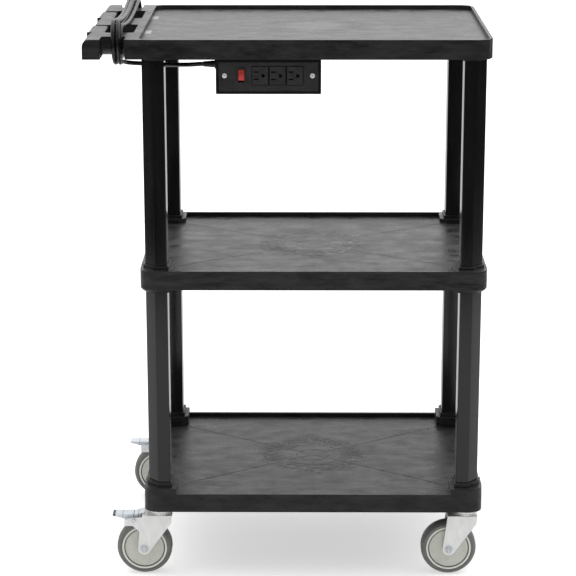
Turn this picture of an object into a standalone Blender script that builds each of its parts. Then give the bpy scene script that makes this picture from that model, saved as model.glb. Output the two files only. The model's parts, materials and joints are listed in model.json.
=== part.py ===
# Utility cart: three moulded tray shelves on eight legs, a grip moulded into the top shelf,
# an outlet strip under its front edge with the cord wound on the grip, and four swivel casters,
# the two under the grip with brake pedals.
# Metres, +Z up. The origin is on the floor, under the middle of the cart's outline.
# -X is the grip's end and -Y is the side with the outlets.
import math

import bmesh
import bpy
from mathutils import Matrix, Vector

# Driving dimensions
SHELF_WIDTH = 0.6096
SHELF_DEPTH = 0.4672
CART_HEIGHT = 0.981
LOWER_BAY_SHARE = 0.504878
SKIRT_HEIGHT = 0.034
CASTER_HEIGHT = 0.127
WHEEL_HEADROOM = 0.027
GRIP_REACH = 0.0907
LEG_WIDTH = 0.0395
LEG_DEPTH = 0.045
CORD_DIAMETER = 0.0076

# Fits
GAP = 0.0003
OVERRUN = 0.002

# Shelf walls and tray
LIP_HEIGHT = 0.008
LIP_WIDTH = 0.0056
DECK_THICKNESS = 0.004
SKIRT_WALL = 0.005
SHELF_CORNER_RADIUS = 0.024
TRAY_CORNER_RADIUS = 0.016
RIB_THICKNESS = 0.0035
RIB_DEPTH = 0.012
RIB_BOSS_RADIUS = 0.070
RIB_BOSS_WALL = 0.004

# Legs and their sockets
LEG_INSET = 0.0083
LEG_SETBACK = 0.0120
LEG_CHAMFER_ACROSS = 0.0175
LEG_CHAMFER_BACK = 0.0190
LEG_WALL = 0.0035
LEG_EDGE_RADIUS = 0.0022
BLOCK_MARGIN = 0.0105
BLOCK_CHAMFER = 0.012
COLLAR_WALL = 0.0034
TOP_SOCKET_DEPTH = 0.026
MIDDLE_COLLAR_HEIGHT = 0.0064
MIDDLE_SOCKET_DEPTH = 0.022
MIDDLE_LOWER_SOCKET_DEPTH = 0.016
BOTTOM_BLOCK_RISE = 0.010
BOTTOM_COLLAR_HEIGHT = 0.0085
BOTTOM_SOCKET_DEPTH = 0.030
TOP_BOSS_HEIGHT = 0.003
MIDDLE_BOSS_HEIGHT = 0.007
BOTTOM_BOSS_HEIGHT = 0.002
BOSS_TAPER = 0.0085

# Grip
GRIP_BAR_WIDTH = 0.0305
GRIP_ROUND_ACROSS = 0.0105
GRIP_ROUND_DOWN = 0.0140
GRIP_LAND = 0.0182
GRIP_LAND_SETBACK = 0.0020
GRIP_PAD_DROP = 0.0012
GRIP_PAD_ACROSS = 0.0040
GRIP_PAD_DOWN = 0.0055
GRIP_PAD_INNER = 0.0050
GRIP_HOLE_LAND = 0.0085
CORD_NOTCH = 0.0396
HAND_HOLE_LENGTH = 0.1035
HAND_HOLE_RADIUS = 0.006
MIDDLE_WEB = 0.084
GRIP_WALL = 0.005

# Outlet strip
STRIP_LENGTH = 0.180
STRIP_HEIGHT = 0.0595
STRIP_DEPTH = 0.048
STRIP_CENTRE = -0.0780
STRIP_SETBACK = 0.0045
STRIP_WALL = 0.0015
FACEPLATE_THICKNESS = 0.002
FACEPLATE_RADIUS = 0.0020
FACE_ITEMS_LIFT = 0.0022
SCREW_INSET = 0.0150
SCREW_HEAD_RADIUS = 0.0043
SCREW_HEAD_HEIGHT = 0.0022
SCREW_SHANK_RADIUS = 0.0018
SCREW_LENGTH = 0.012
OUTLET_WIDTH = 0.0272
OUTLET_HEIGHT = 0.0312
OUTLET_GAP = 0.0024
OUTLET_DEPTH = 0.022
OUTLET_PROUD = 0.0008
OUTLETS_SPARE_SHARE = 0.294
SLOT_LENGTH = 0.0083
SLOT_WIDTH = 0.0022
SLOT_SPACING = 0.0127
SLOT_SHIFT = -0.0067
GROUND_RADIUS = 0.0029
GROUND_SHIFT = 0.0052
SLOT_DEPTH = 0.014
SWITCH_SPARE_SHARE = 0.4265
BEZEL_WIDTH = 0.0142
BEZEL_HEIGHT = 0.0256
BEZEL_PROUD = 0.0015
BEZEL_DEPTH = 0.018
BEZEL_WALL = 0.0016
ROCKER_TRAVEL = 16.0
ROCKER_PIN_RADIUS = 0.0012
ROCKER_SIDE_GAP = 0.0004
TAB_WIDTH = 0.018
TAB_THICKNESS = 0.0025
TAB_HEIGHT = 0.017
TAB_INSET = 0.025
TAB_HOLE_HEIGHT = 0.009
TAB_SCREW_LENGTH = 0.0055

# Casters
TYRE_WIDTH = 0.032
TYRE_THICKNESS = 0.0112
TYRE_EDGE = 0.0035
HUB_WIDTH = 0.028
HUB_RING_WIDTH = 0.0045
HUB_GROOVE_WIDTH = 0.0028
HUB_GROOVE_DEPTH = 0.0025
HUB_RECESS = 0.0012
HUB_SLEEVE_RADIUS = 0.0095
CASTER_TRAIL = 0.030
FORK_INSIDE = 0.0370
FORK_THICKNESS = 0.0026
FORK_CROWN_THICKNESS = 0.0030
FORK_CUP_HEIGHT = 0.0027
FORK_CUP_RADIUS = 0.0203
FORK_FOOT_RADIUS = 0.0112
FORK_BACK = 0.0330
FORK_FRONT = 0.0205
AXLE_RADIUS = 0.0040
AXLE_HEAD_RADIUS = 0.0068
AXLE_HEAD_HEIGHT = 0.0042
STEM_RADIUS = 0.0055
STEM_LENGTH = 0.038
RACE_RADIUS = 0.0215
RACE_TOP_RADIUS = 0.0190
RACE_HEIGHT = 0.0073
KINGPIN_RADIUS = 0.0050
KINGPIN_HEAD_RADIUS = 0.0090
KINGPIN_HEAD_HEIGHT = 0.0040

# Brake pedals
PEDAL_PIVOT_BACK = 0.0480
PEDAL_PIVOT_DROP = 0.0069
PEDAL_PIN_RADIUS = 0.0025
PEDAL_KNUCKLE_RADIUS = 0.0052
PEDAL_WIDTH = 0.0230
PEDAL_TIP_BACK = 0.0870
PEDAL_THICKNESS = 0.0026
PEDAL_RISE = 0.0021
PEDAL_WALL = 0.0024
PEDAL_TIP_DEPTH = 0.0025
PEDAL_SIDE_DEPTH = 0.0085
PEDAL_SIDE_BACK = 0.0665
PEDAL_FRONT_BACK = 0.0365
PEDAL_LIP_BACK = 0.0290
PEDAL_LIP_THICKNESS = 0.0021
PEDAL_LIP_SLOPE = 0.0095
PEDAL_SHOE_BACK = 0.0600
PEDAL_SHOE_WIDTH = 0.0070
PEDAL_SHOE_GAP = 0.0038
EAR_BACK = 0.0655
EAR_TOP_DROP = 0.0019
EAR_BOTTOM_DROP = 0.0169

# Cord, its winding on the grip, strain relief and plug
CORD_PITCH_GAP = 0.0006
WINDING_LAYER_GAP = 0.0011
WINDING_CLIMB_BEFORE = 5 / 24
WINDING_CLIMB_AFTER = 2 / 24
WINDING_FOLD_RADIUS = 0.0275
WINDING_FOLD_CENTRE = 0.174
WINDING_CLEARANCE = 0.0012
WINDING_SAG = 0.0085
WINDING_OUTER_TURNS = 1.5
WINDING_TURNS = 3 + 5 / 6
LOOP_POINTS = 24
FOLD_STEPS = 8
RUN_STEPS = 4
RELIEF_LENGTH = 0.022
RELIEF_ROOT_RADIUS = 0.0058
RELIEF_FLANGE_RADIUS = 0.0082
RELIEF_FLANGE_THICKNESS = 0.002
RELIEF_DROP = 0.0105
RELIEF_SETBACK = 0.021
PLUG_WIDTH = 0.026
PLUG_HEIGHT = 0.021
PLUG_LENGTH = 0.033
PLUG_NECK_LENGTH = 0.011
PLUG_NECK_RADIUS = 0.0062
PLUG_BLADE_LENGTH = 0.016
PLUG_BLADE_WIDTH = 0.0063
PLUG_BLADE_THICKNESS = 0.0016
PLUG_BLADE_SPACING = 0.0127
PLUG_GROUND_RADIUS = 0.0024
PLUG_PLACE = 0.0945
PLUG_DROP = 0.0302

# The cord from the strain relief to the winding, behind the front left leg: X and Y from the
# shelf's middle, Z from the top lip. It sags between its two ends.
LEAD_WAYPOINTS = (
    (-0.2061, -0.2057, -0.0460),
    (-0.2165, -0.1987, -0.0476),
    (-0.2322, -0.1829, -0.0502),
    (-0.2480, -0.1671, -0.0528),
    (-0.2637, -0.1512, -0.0548),
    (-0.2794, -0.1354, -0.0562),
    (-0.2898, -0.1284, -0.0568),
    (-0.3020, -0.1260, -0.0568),
    (-0.3143, -0.1284, -0.0558),
    (-0.3246, -0.1354, -0.0538),
    (-0.3316, -0.1458, -0.0508),
)

# Facet counts
CORNER_STEPS = 5
WHEEL_STEPS = 24
ROUND_STEPS = 20
SMALL_STEPS = 16
TINY_STEPS = 12
SOFT_STEPS = 2
CURVE_STEPS = 16

# Levels and places that follow from them
CART_X = GRIP_REACH / 2
BOTTOM_LIP = CASTER_HEIGHT + SKIRT_HEIGHT
TOP_LIP = CART_HEIGHT
MIDDLE_LIP = BOTTOM_LIP + (TOP_LIP - BOTTOM_LIP) * LOWER_BAY_SHARE
HALF_WIDTH = SHELF_WIDTH / 2
HALF_DEPTH = SHELF_DEPTH / 2
LEG_OUTER_X = HALF_WIDTH - LEG_INSET
LEG_OUTER_Y = HALF_DEPTH - LEG_SETBACK
LEG_INNER_X = LEG_OUTER_X - LEG_WIDTH
LEG_INNER_Y = LEG_OUTER_Y - LEG_DEPTH
BLOCK_INNER_X = LEG_INNER_X - BLOCK_MARGIN
BLOCK_INNER_Y = LEG_INNER_Y - BLOCK_MARGIN
STEM_X = LEG_OUTER_X - LEG_WIDTH / 2
STEM_Y = LEG_OUTER_Y - LEG_DEPTH / 2
DECK_DROP = LIP_HEIGHT + DECK_THICKNESS
WHEEL_DIAMETER = CASTER_HEIGHT - WHEEL_HEADROOM
WHEEL_RADIUS = WHEEL_DIAMETER / 2
HUB_RADIUS = WHEEL_RADIUS - TYRE_THICKNESS
CORD_RADIUS = CORD_DIAMETER / 2
CORD_PITCH = CORD_DIAMETER + CORD_PITCH_GAP

# The caster's levels from the shelf down, and its pedal's about the crown plate's underside
RACE_TOP = CASTER_HEIGHT - BOTTOM_BOSS_HEIGHT - GAP
RACE_BOTTOM = RACE_TOP - RACE_HEIGHT
CUP_TOP = RACE_BOTTOM - GAP
PLATE_TOP = CUP_TOP - FORK_CUP_HEIGHT
PLATE_BOTTOM = PLATE_TOP - FORK_CROWN_THICKNESS
PEDAL_PIVOT_HEIGHT = PLATE_BOTTOM - PEDAL_PIVOT_DROP
PEDAL_TOP = PLATE_BOTTOM + PEDAL_RISE
EAR_TOP = PLATE_BOTTOM - EAR_TOP_DROP
EAR_BOTTOM = PLATE_BOTTOM - EAR_BOTTOM_DROP

# Places along the strip, from its middle: what its items leave free lies between them
SCREW_SPACING = STRIP_LENGTH - 2 * SCREW_INSET
TAB_SPACING = STRIP_LENGTH - 2 * TAB_INSET
OUTLET_PITCH = OUTLET_WIDTH + OUTLET_GAP
OUTLETS_WIDTH = OUTLET_WIDTH + 2 * OUTLET_PITCH
SCREW_REACH = SCREW_SPACING / 2 - SCREW_HEAD_RADIUS
STRIP_SPARE = 2 * SCREW_REACH - BEZEL_WIDTH - OUTLETS_WIDTH
SWITCH_CENTRE = -SCREW_REACH + STRIP_SPARE * SWITCH_SPARE_SHARE + BEZEL_WIDTH / 2
OUTLETS_CENTRE = SCREW_REACH - STRIP_SPARE * OUTLETS_SPARE_SHARE - OUTLETS_WIDTH / 2

CORNERS = (
    ("front_left", -1, -1),
    ("front_right", 1, -1),
    ("rear_left", -1, 1),
    ("rear_right", 1, 1),
)


# Materials

def make_material(name, colour, roughness, metallic=0.0):
    material = bpy.data.materials.new(name)
    material.use_nodes = True
    shader = material.node_tree.nodes["Principled BSDF"]
    shader.inputs["Base Color"].default_value = (*colour, 1.0)
    shader.inputs["Roughness"].default_value = roughness
    shader.inputs["Metallic"].default_value = metallic
    material.diffuse_color = (*colour, 1.0)
    return material


def make_materials():
    return {
        "shelf": make_material("shelf_plastic", (0.045, 0.045, 0.046), 0.45),
        "leg": make_material("leg_plastic", (0.022, 0.022, 0.022), 0.25),
        "steel": make_material("painted_steel", (0.030, 0.030, 0.030), 0.45),
        "outlet": make_material("outlet_plastic", (0.026, 0.026, 0.026), 0.40),
        "red": make_material("rocker_plastic", (0.55, 0.055, 0.045), 0.30),
        "zinc": make_material("zinc_plate", (0.72, 0.74, 0.75), 0.28, 1.0),
        "tyre": make_material("tyre_rubber", (0.16, 0.16, 0.16), 0.60),
        "hub": make_material("hub_plastic", (0.42, 0.42, 0.38), 0.45),
        "cord": make_material("cord_jacket", (0.020, 0.020, 0.020), 0.40),
    }


# Outlines, as lists of (x, y)

def arc(centre, radius, start, end, steps):
    points = []
    for step in range(steps + 1):
        angle = math.radians(start + (end - start) * step / steps)
        points.append((centre[0] + radius * math.cos(angle), centre[1] + radius * math.sin(angle)))
    return points


def circle(centre, radius, steps):
    return arc(centre, radius, 0, 360, steps)[:-1]


def rectangle(x0, x1, y0, y1):
    return [(x0, y0), (x1, y0), (x1, y1), (x0, y1)]


def soften(outline, radii, steps):
    # Each corner of a polygon becomes an arc that starts and ends at its radius from the corner.
    points = []
    count = len(outline)
    for index, corner in enumerate(outline):
        radius = radii[index] if isinstance(radii, (list, tuple)) else radii
        corner = Vector(corner)
        before = Vector(outline[index - 1])
        after = Vector(outline[(index + 1) % count])
        if radius <= 0:
            points.append(tuple(corner))
            continue
        inward = (before - corner).normalized()
        outward = (after - corner).normalized()
        half_angle = inward.angle(outward) / 2
        reach = radius / math.tan(half_angle)
        limit = min((before - corner).length, (after - corner).length) / 2
        reach = min(reach, limit)
        radius = reach * math.tan(half_angle)
        centre = corner + (inward + outward).normalized() * (radius / math.sin(half_angle))
        first = corner + inward * reach - centre
        last = corner + outward * reach - centre
        turn = first.angle_signed(last)
        for step in range(steps + 1):
            angle = -turn * step / steps
            spoke = Matrix.Rotation(angle, 2) @ first
            points.append(tuple(centre + spoke))
    return points


def offset(outline, distance):
    # A convex polygon given anticlockwise, with every side moved outwards by the distance.
    moved = []
    count = len(outline)
    for index in range(count):
        before = Vector(outline[index - 1])
        corner = Vector(outline[index])
        after = Vector(outline[(index + 1) % count])
        side_in = (corner - before).normalized()
        side_out = (after - corner).normalized()
        normal_in = Vector((side_in.y, -side_in.x))
        normal_out = Vector((side_out.y, -side_out.x))
        middle = (normal_in + normal_out).normalized()
        moved.append(tuple(corner + middle * (distance / middle.dot(normal_in))))
    return moved


def flip(outline, sign_x, sign_y):
    # An outline of the +X, +Y quarter carried to another quarter, still anticlockwise.
    points = [(x * sign_x, y * sign_y) for x, y in outline]
    if sign_x * sign_y < 0:
        points.reverse()
    return points


# Solids

def mesh_object(name, mesh_bm, material=None):
    bmesh.ops.recalc_face_normals(mesh_bm, faces=mesh_bm.faces)
    mesh = bpy.data.meshes.new(name)
    mesh_bm.to_mesh(mesh)
    mesh_bm.free()
    item = bpy.data.objects.new(name, mesh)
    bpy.context.scene.collection.objects.link(item)
    if material:
        mesh.materials.append(material)
    return item


def prism(name, outline, bottom, top, holes=()):
    # A plate of any outline, with holes through it.
    bm = bmesh.new()
    edges = []
    for loop in (outline, *holes):
        corners = [bm.verts.new((x, y, bottom)) for x, y in loop]
        for index, corner in enumerate(corners):
            edges.append(bm.edges.new((corners[index - 1], corner)))
    if holes:
        bmesh.ops.triangle_fill(bm, use_beauty=True, edges=edges)
    else:
        bm.faces.new(bm.verts)
    grown = bmesh.ops.extrude_face_region(bm, geom=bm.faces[:])
    raised = [part for part in grown["geom"] if isinstance(part, bmesh.types.BMVert)]
    bmesh.ops.translate(bm, verts=raised, vec=(0, 0, top - bottom))
    return mesh_object(name, bm)


def loft(name, sections):
    # Outlines of the same count, each at its own height, joined from the first to the last.
    bm = bmesh.new()
    rings = []
    for outline, height in sections:
        rings.append([bm.verts.new((x, y, height)) for x, y in outline])
    for lower, upper in zip(rings, rings[1:]):
        for index in range(len(lower)):
            bm.faces.new((lower[index - 1], lower[index], upper[index], upper[index - 1]))
    bm.faces.new(reversed(rings[0]))
    bm.faces.new(rings[-1])
    return mesh_object(name, bm)


def turned(name, profile, steps):
    # A closed profile of (radius, height) turned about the Z axis.
    bm = bmesh.new()
    rings = []
    for radius, height in profile:
        if radius == 0:
            rings.append([bm.verts.new((0, 0, height))])
            continue
        ring = []
        for step in range(steps):
            angle = 2 * math.pi * step / steps
            ring.append(bm.verts.new((radius * math.cos(angle), radius * math.sin(angle), height)))
        rings.append(ring)
    for index, lower in enumerate(rings):
        upper = rings[(index + 1) % len(rings)]
        if len(lower) == 1 and len(upper) == 1:
            continue
        for step in range(steps):
            near = step
            far = (step + 1) % steps
            if len(lower) == 1:
                bm.faces.new((lower[0], upper[near], upper[far]))
            elif len(upper) == 1:
                bm.faces.new((lower[near], lower[far], upper[0]))
            else:
                bm.faces.new((lower[near], lower[far], upper[far], upper[near]))
    return mesh_object(name, bm)


def place(item, matrix):
    item.data.transform(matrix)
    return item


def stand_on_side(item):
    # An XY outline with a Z thickness becomes an XZ outline with its thickness along Y.
    return place(item, Matrix.Rotation(math.radians(90), 4, "X"))


def along_y(outline, near, far, holes=()):
    # A plate in the XZ plane that reaches from Y near to Y far.
    item = prism("plate", outline, -far, -near, holes)
    return stand_on_side(item)


def along_x(outline, near, far):
    # A plate in the YZ plane that reaches from X near to X far.
    turn = Matrix(((0, 0, 1, 0), (1, 0, 0, 0), (0, 1, 0, 0), (0, 0, 0, 1)))
    return place(prism("plate", outline, near, far), turn)


def cut(body, *cutters):
    return combine(body, "DIFFERENCE", cutters)


def join(body, *parts):
    return combine(body, "UNION", parts)


def combine(body, operation, others):
    for other in others:
        step = body.modifiers.new("cut", "BOOLEAN")
        step.operation = operation
        step.solver = "EXACT"
        step.object = other
        graph = bpy.context.evaluated_depsgraph_get()
        result = bpy.data.meshes.new_from_object(body.evaluated_get(graph))
        body.modifiers.remove(step)
        old = body.data
        body.data = result
        bpy.data.meshes.remove(old)
        bpy.data.objects.remove(other)
    return body


def finish(item, name, material, smooth_angle=40):
    item.name = name
    item.data.name = name
    item.data.materials.clear()
    item.data.materials.append(material)
    item.data.shade_smooth()
    item.data.set_sharp_from_angle(angle=math.radians(smooth_angle))
    return item


def put_origin(item, point):
    # The object's origin moves to its joint axis and its mesh stays where it is.
    item.data.transform(Matrix.Translation(-Vector(point)))
    item.location = point
    return item


# Shelves

def leg_outline():
    # The +X, +Y leg, anticlockwise, with its outer corner cut off.
    return [
        (LEG_INNER_X, LEG_INNER_Y),
        (LEG_OUTER_X, LEG_INNER_Y),
        (LEG_OUTER_X, LEG_OUTER_Y - LEG_CHAMFER_BACK),
        (LEG_OUTER_X - LEG_CHAMFER_ACROSS, LEG_OUTER_Y),
        (LEG_INNER_X, LEG_OUTER_Y),
    ]


def block_outline(inset=0.0):
    # The +X, +Y corner block, which follows the shelf's own corner.
    outer_x = HALF_WIDTH - inset
    outer_y = HALF_DEPTH - inset
    inner_x = BLOCK_INNER_X + inset
    inner_y = BLOCK_INNER_Y + inset
    corner = max(SHELF_CORNER_RADIUS - inset, GAP)
    shape = [
        (inner_x + BLOCK_CHAMFER, inner_y),
        (outer_x, inner_y),
        (outer_x, outer_y),
        (inner_x, outer_y),
        (inner_x, inner_y + BLOCK_CHAMFER),
    ]
    return soften(shape, (0, 0, corner, 0, 0), CORNER_STEPS)


def shelf_outline(left, right_radius, left_radius):
    shape = rectangle(left, HALF_WIDTH, -HALF_DEPTH, HALF_DEPTH)
    return soften(shape, (left_radius, right_radius, right_radius, left_radius), CORNER_STEPS)


def notched_outline(inset):
    # The inside of a shelf between its four corner blocks.
    x = HALF_WIDTH - inset
    y = HALF_DEPTH - inset
    quarter = [
        (x, BLOCK_INNER_Y),
        (BLOCK_INNER_X + BLOCK_CHAMFER, BLOCK_INNER_Y),
        (BLOCK_INNER_X, BLOCK_INNER_Y + BLOCK_CHAMFER),
        (BLOCK_INNER_X, y),
    ]
    outline = list(quarter)
    outline += flip(quarter, -1, 1)
    outline += [(-px, -py) for px, py in quarter]
    outline += flip(quarter, 1, -1)
    return outline


def rib_boxes(bottom, top):
    # Ribs under a deck: two diagonals, a cross and a round boss where they meet.
    inner_x = HALF_WIDTH - SKIRT_WALL
    inner_y = HALF_DEPTH - SKIRT_WALL
    diagonal = math.atan2(BLOCK_INNER_Y, BLOCK_INNER_X)
    reach = math.hypot(BLOCK_INNER_X, BLOCK_INNER_Y) + BLOCK_CHAMFER
    half = RIB_THICKNESS / 2
    ribs = []
    for angle, length in (
        (0, inner_x + OVERRUN),
        (math.pi / 2, inner_y + OVERRUN),
        (diagonal, reach),
        (-diagonal, reach),
    ):
        rib = prism("rib", rectangle(-length, length, -half, half), bottom, top)
        ribs.append(place(rib, Matrix.Rotation(angle, 4, "Z")))
    boss = prism("rib_boss", circle((0, 0), RIB_BOSS_RADIUS, ROUND_STEPS), bottom, top,
                 [circle((0, 0), RIB_BOSS_RADIUS - RIB_BOSS_WALL, ROUND_STEPS)])
    return ribs, boss


def hollow_under(lip):
    # The hollow under a deck: open all over below the ribs, and in cells between them.
    deck_bottom = lip - DECK_DROP
    skirt_bottom = lip - SKIRT_HEIGHT
    hollow = prism("hollow", notched_outline(SKIRT_WALL), skirt_bottom - OVERRUN, deck_bottom)
    ribs, boss = rib_boxes(deck_bottom - RIB_DEPTH, deck_bottom + OVERRUN)
    return cut(hollow, *ribs, boss)


def leg_sockets(body, bottom, top):
    outline = offset(leg_outline(), GAP)
    for _, sign_x, sign_y in CORNERS:
        body = cut(body, prism("socket", flip(outline, sign_x, sign_y), bottom, top))
    return body


def add_blocks(body, bottom, top):
    for _, sign_x, sign_y in CORNERS:
        body = join(body, prism("block", flip(block_outline(GAP), sign_x, sign_y), bottom, top))
    return body


def add_collars(body, bottom, top):
    outline = offset(leg_outline(), COLLAR_WALL)
    for _, sign_x, sign_y in CORNERS:
        body = join(body, prism("collar", flip(outline, sign_x, sign_y), bottom, top))
    return body


def add_bosses(body, skirt_bottom, height):
    # Each corner block ends below the skirt in a boss whose sides draw in.
    root = skirt_bottom + OVERRUN
    shares = ((0.0, 0.0), (0.35, 0.5), (1.0, 1.0))
    for _, sign_x, sign_y in CORNERS:
        sections = [(flip(block_outline(2 * GAP), sign_x, sign_y), root)]
        for inset_share, drop_share in shares:
            inset = 2 * GAP + BOSS_TAPER * inset_share
            outline = flip(block_outline(inset), sign_x, sign_y)
            sections.append((outline, skirt_bottom - height * drop_share))
        sections.reverse()
        body = join(body, loft("boss", sections))
    return body


def make_middle_shelf(materials):
    lip = MIDDLE_LIP
    deck = lip - LIP_HEIGHT
    skirt_bottom = lip - SKIRT_HEIGHT
    boss_bottom = skirt_bottom - MIDDLE_BOSS_HEIGHT
    outline = shelf_outline(-HALF_WIDTH, SHELF_CORNER_RADIUS, SHELF_CORNER_RADIUS)
    body = prism("middle_shelf", outline, skirt_bottom, lip)
    body = cut(body, prism("tray", notched_outline(LIP_WIDTH), deck, lip + OVERRUN))
    body = cut(body, hollow_under(lip))
    body = add_bosses(body, skirt_bottom, MIDDLE_BOSS_HEIGHT)
    collar_top = lip + MIDDLE_COLLAR_HEIGHT
    body = add_collars(body, deck, collar_top)
    body = leg_sockets(body, collar_top - MIDDLE_SOCKET_DEPTH, collar_top + OVERRUN)
    body = leg_sockets(body, boss_bottom - OVERRUN, boss_bottom + MIDDLE_LOWER_SOCKET_DEPTH)
    return finish(body, "middle_shelf", materials["shelf"])


def make_bottom_shelf(materials):
    lip = BOTTOM_LIP
    deck = lip - LIP_HEIGHT
    skirt_bottom = lip - SKIRT_HEIGHT
    boss_bottom = skirt_bottom - BOTTOM_BOSS_HEIGHT
    outline = shelf_outline(-HALF_WIDTH, SHELF_CORNER_RADIUS, SHELF_CORNER_RADIUS)
    body = prism("bottom_shelf", outline, skirt_bottom, lip)
    body = cut(body, prism("tray", notched_outline(LIP_WIDTH), deck, lip + OVERRUN))
    body = cut(body, hollow_under(lip))
    body = add_bosses(body, skirt_bottom, BOTTOM_BOSS_HEIGHT)
    block_top = lip + BOTTOM_BLOCK_RISE
    collar_top = block_top + BOTTOM_COLLAR_HEIGHT
    body = add_blocks(body, deck, block_top)
    body = add_collars(body, deck, collar_top)
    body = leg_sockets(body, collar_top - BOTTOM_SOCKET_DEPTH, collar_top + OVERRUN)
    for _, sign_x, sign_y in CORNERS:
        bore = circle((sign_x * STEM_X, sign_y * STEM_Y), STEM_RADIUS + GAP, SMALL_STEPS)
        body = cut(body, prism("stem_bore", bore, boss_bottom - OVERRUN, collar_top))
    return finish(body, "bottom_shelf", materials["shelf"])


# Top shelf with the grip

def grip_frame():
    # Places along X of the grip: outer face, inner face of the bar, ends of webs and holes.
    outer = -HALF_WIDTH - GRIP_REACH
    bar_inner = outer + GRIP_BAR_WIDTH
    land = -HALF_WIDTH - GRIP_LAND
    hole_end = -HALF_WIDTH - GRIP_HOLE_LAND
    return outer, bar_inner, land, hole_end


def grip_places():
    # Places along Y: half the middle web, the far side of a hand hole, the web's outer side.
    near = MIDDLE_WEB / 2
    far = near + HAND_HOLE_LENGTH
    web_end = HALF_DEPTH - CORD_NOTCH
    return near, far, web_end


def make_top_shelf(materials):
    lip = TOP_LIP
    deck = lip - LIP_HEIGHT
    skirt_bottom = lip - SKIRT_HEIGHT
    boss_bottom = skirt_bottom - TOP_BOSS_HEIGHT
    outer, bar_inner, land, hole_end = grip_frame()
    near, far, web_end = grip_places()
    # One outline for the tray, the webs and the bar, with a notch at each end for the cord.
    # The land beside the notch stands back a little, so the shelf's own round corner shows.
    edge = LEG_EDGE_RADIUS
    corner = SHELF_CORNER_RADIUS
    swing = math.degrees(math.acos(1 - GRIP_LAND_SETBACK / corner))
    round_corner = arc((corner - HALF_WIDTH, corner - HALF_DEPTH), corner, 270 - swing, 270, SOFT_STEPS)
    land_y = HALF_DEPTH - GRIP_LAND_SETBACK
    shape = [
        (outer, -HALF_DEPTH), (bar_inner, -HALF_DEPTH), (bar_inner, -web_end), (land, -web_end),
        (land, -land_y), *round_corner, (HALF_WIDTH, -HALF_DEPTH), (HALF_WIDTH, HALF_DEPTH),
        *flip(round_corner, 1, -1), (land, land_y), (land, web_end), (bar_inner, web_end),
        (bar_inner, HALF_DEPTH), (outer, HALF_DEPTH),
    ]
    plain = [0] * len(round_corner)
    radii = [edge] * 5 + plain + [corner] * 2 + plain + [edge] * 5
    holes = []
    for side in (-1, 1):
        front, back = sorted((side * near, side * far))
        hole = rectangle(bar_inner, hole_end, front, back)
        holes.append(soften(hole, HAND_HOLE_RADIUS, SOFT_STEPS))
    body = prism("top_shelf", soften(shape, radii, SOFT_STEPS), skirt_bottom, lip, holes)
    for item in grip_roundings(outer, bar_inner, lip):
        body = cut(body, item)
    tray = soften(rectangle(-HALF_WIDTH + LIP_WIDTH, HALF_WIDTH - LIP_WIDTH,
                            -HALF_DEPTH + LIP_WIDTH, HALF_DEPTH - LIP_WIDTH),
                  TRAY_CORNER_RADIUS, CORNER_STEPS)
    body = cut(body, prism("tray", tray, deck, lip + OVERRUN))
    body = cut(body, hollow_under(lip))
    for side in (-1, 1):
        body = cut(body, web_rounding(side, bar_inner, land))
    bar_hollow = rectangle(outer + GRIP_WALL, bar_inner - GRIP_WALL,
                           -HALF_DEPTH + GRIP_WALL, HALF_DEPTH - GRIP_WALL)
    body = cut(body, prism("bar_hollow", bar_hollow, skirt_bottom - OVERRUN, lip - GRIP_ROUND_DOWN))
    body = add_collars(body, boss_bottom, deck)
    body = leg_sockets(body, boss_bottom - OVERRUN, boss_bottom + TOP_SOCKET_DEPTH)
    for side in (-1, 1):
        body = cut(body, tab_screw("tab_screw_hole", side, GAP))
    return finish(body, "top_shelf", materials["shelf"])


def web_rounding(side, near, far):
    # What is left outside the round lower corner of an end web, which the cord bends around.
    middle_z = winding_middle()
    radius = middle_z - (TOP_LIP - SKIRT_HEIGHT)
    outline = arc((WINDING_FOLD_CENTRE, middle_z), radius, 0, -90, CORNER_STEPS)
    outline.append((WINDING_FOLD_CENTRE, middle_z - radius - OVERRUN))
    outline.append((WINDING_FOLD_CENTRE + radius + OVERRUN, middle_z - radius - OVERRUN))
    outline.append((WINDING_FOLD_CENTRE + radius + OVERRUN, middle_z))
    return along_x([(side * y, z) for y, z in outline], near, far)


def quarter(across, down, steps):
    # A quarter ellipse from the side of a bar up to its top, from the corner that it rounds.
    points = []
    for step in range(steps + 1):
        angle = math.pi / 2 * step / steps
        points.append((across * (1 - math.cos(angle)), -down * (1 - math.sin(angle))))
    return points


def grip_roundings(outer, inner, lip):
    # What is left outside the bar's outer upper edge: a wide rounding on its two ends and its
    # middle, and between them, along the hand holes, a pad that is lower and fuller.
    near, far, _ = grip_places()
    near += HAND_HOLE_RADIUS
    far -= HAND_HOLE_RADIUS
    above = lip + OVERRUN
    curve = [(outer + x, lip + z) for x, z in quarter(GRIP_ROUND_ACROSS, GRIP_ROUND_DOWN, CORNER_STEPS)]
    block = curve + [(curve[-1][0], above), (outer - OVERRUN, above), (outer - OVERRUN, curve[0][1])]
    top = lip - GRIP_PAD_DROP
    curve = [(outer + x, top + z) for x, z in quarter(GRIP_PAD_ACROSS, GRIP_PAD_DOWN, SOFT_STEPS)]
    curve += [(inner - x, top + z)
              for x, z in reversed(quarter(GRIP_PAD_INNER, GRIP_PAD_INNER, SOFT_STEPS))]
    pad = curve + [(inner + OVERRUN, curve[-1][1]), (inner + OVERRUN, above), (outer - OVERRUN, above),
                   (outer - OVERRUN, curve[0][1])]
    end = HALF_DEPTH + OVERRUN
    spans = ((block, -end, -far), (pad, -far, -near), (block, -near, near), (pad, near, far),
             (block, far, end))
    return [along_y(outline, front, back) for outline, front, back in spans]


# Legs

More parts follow.
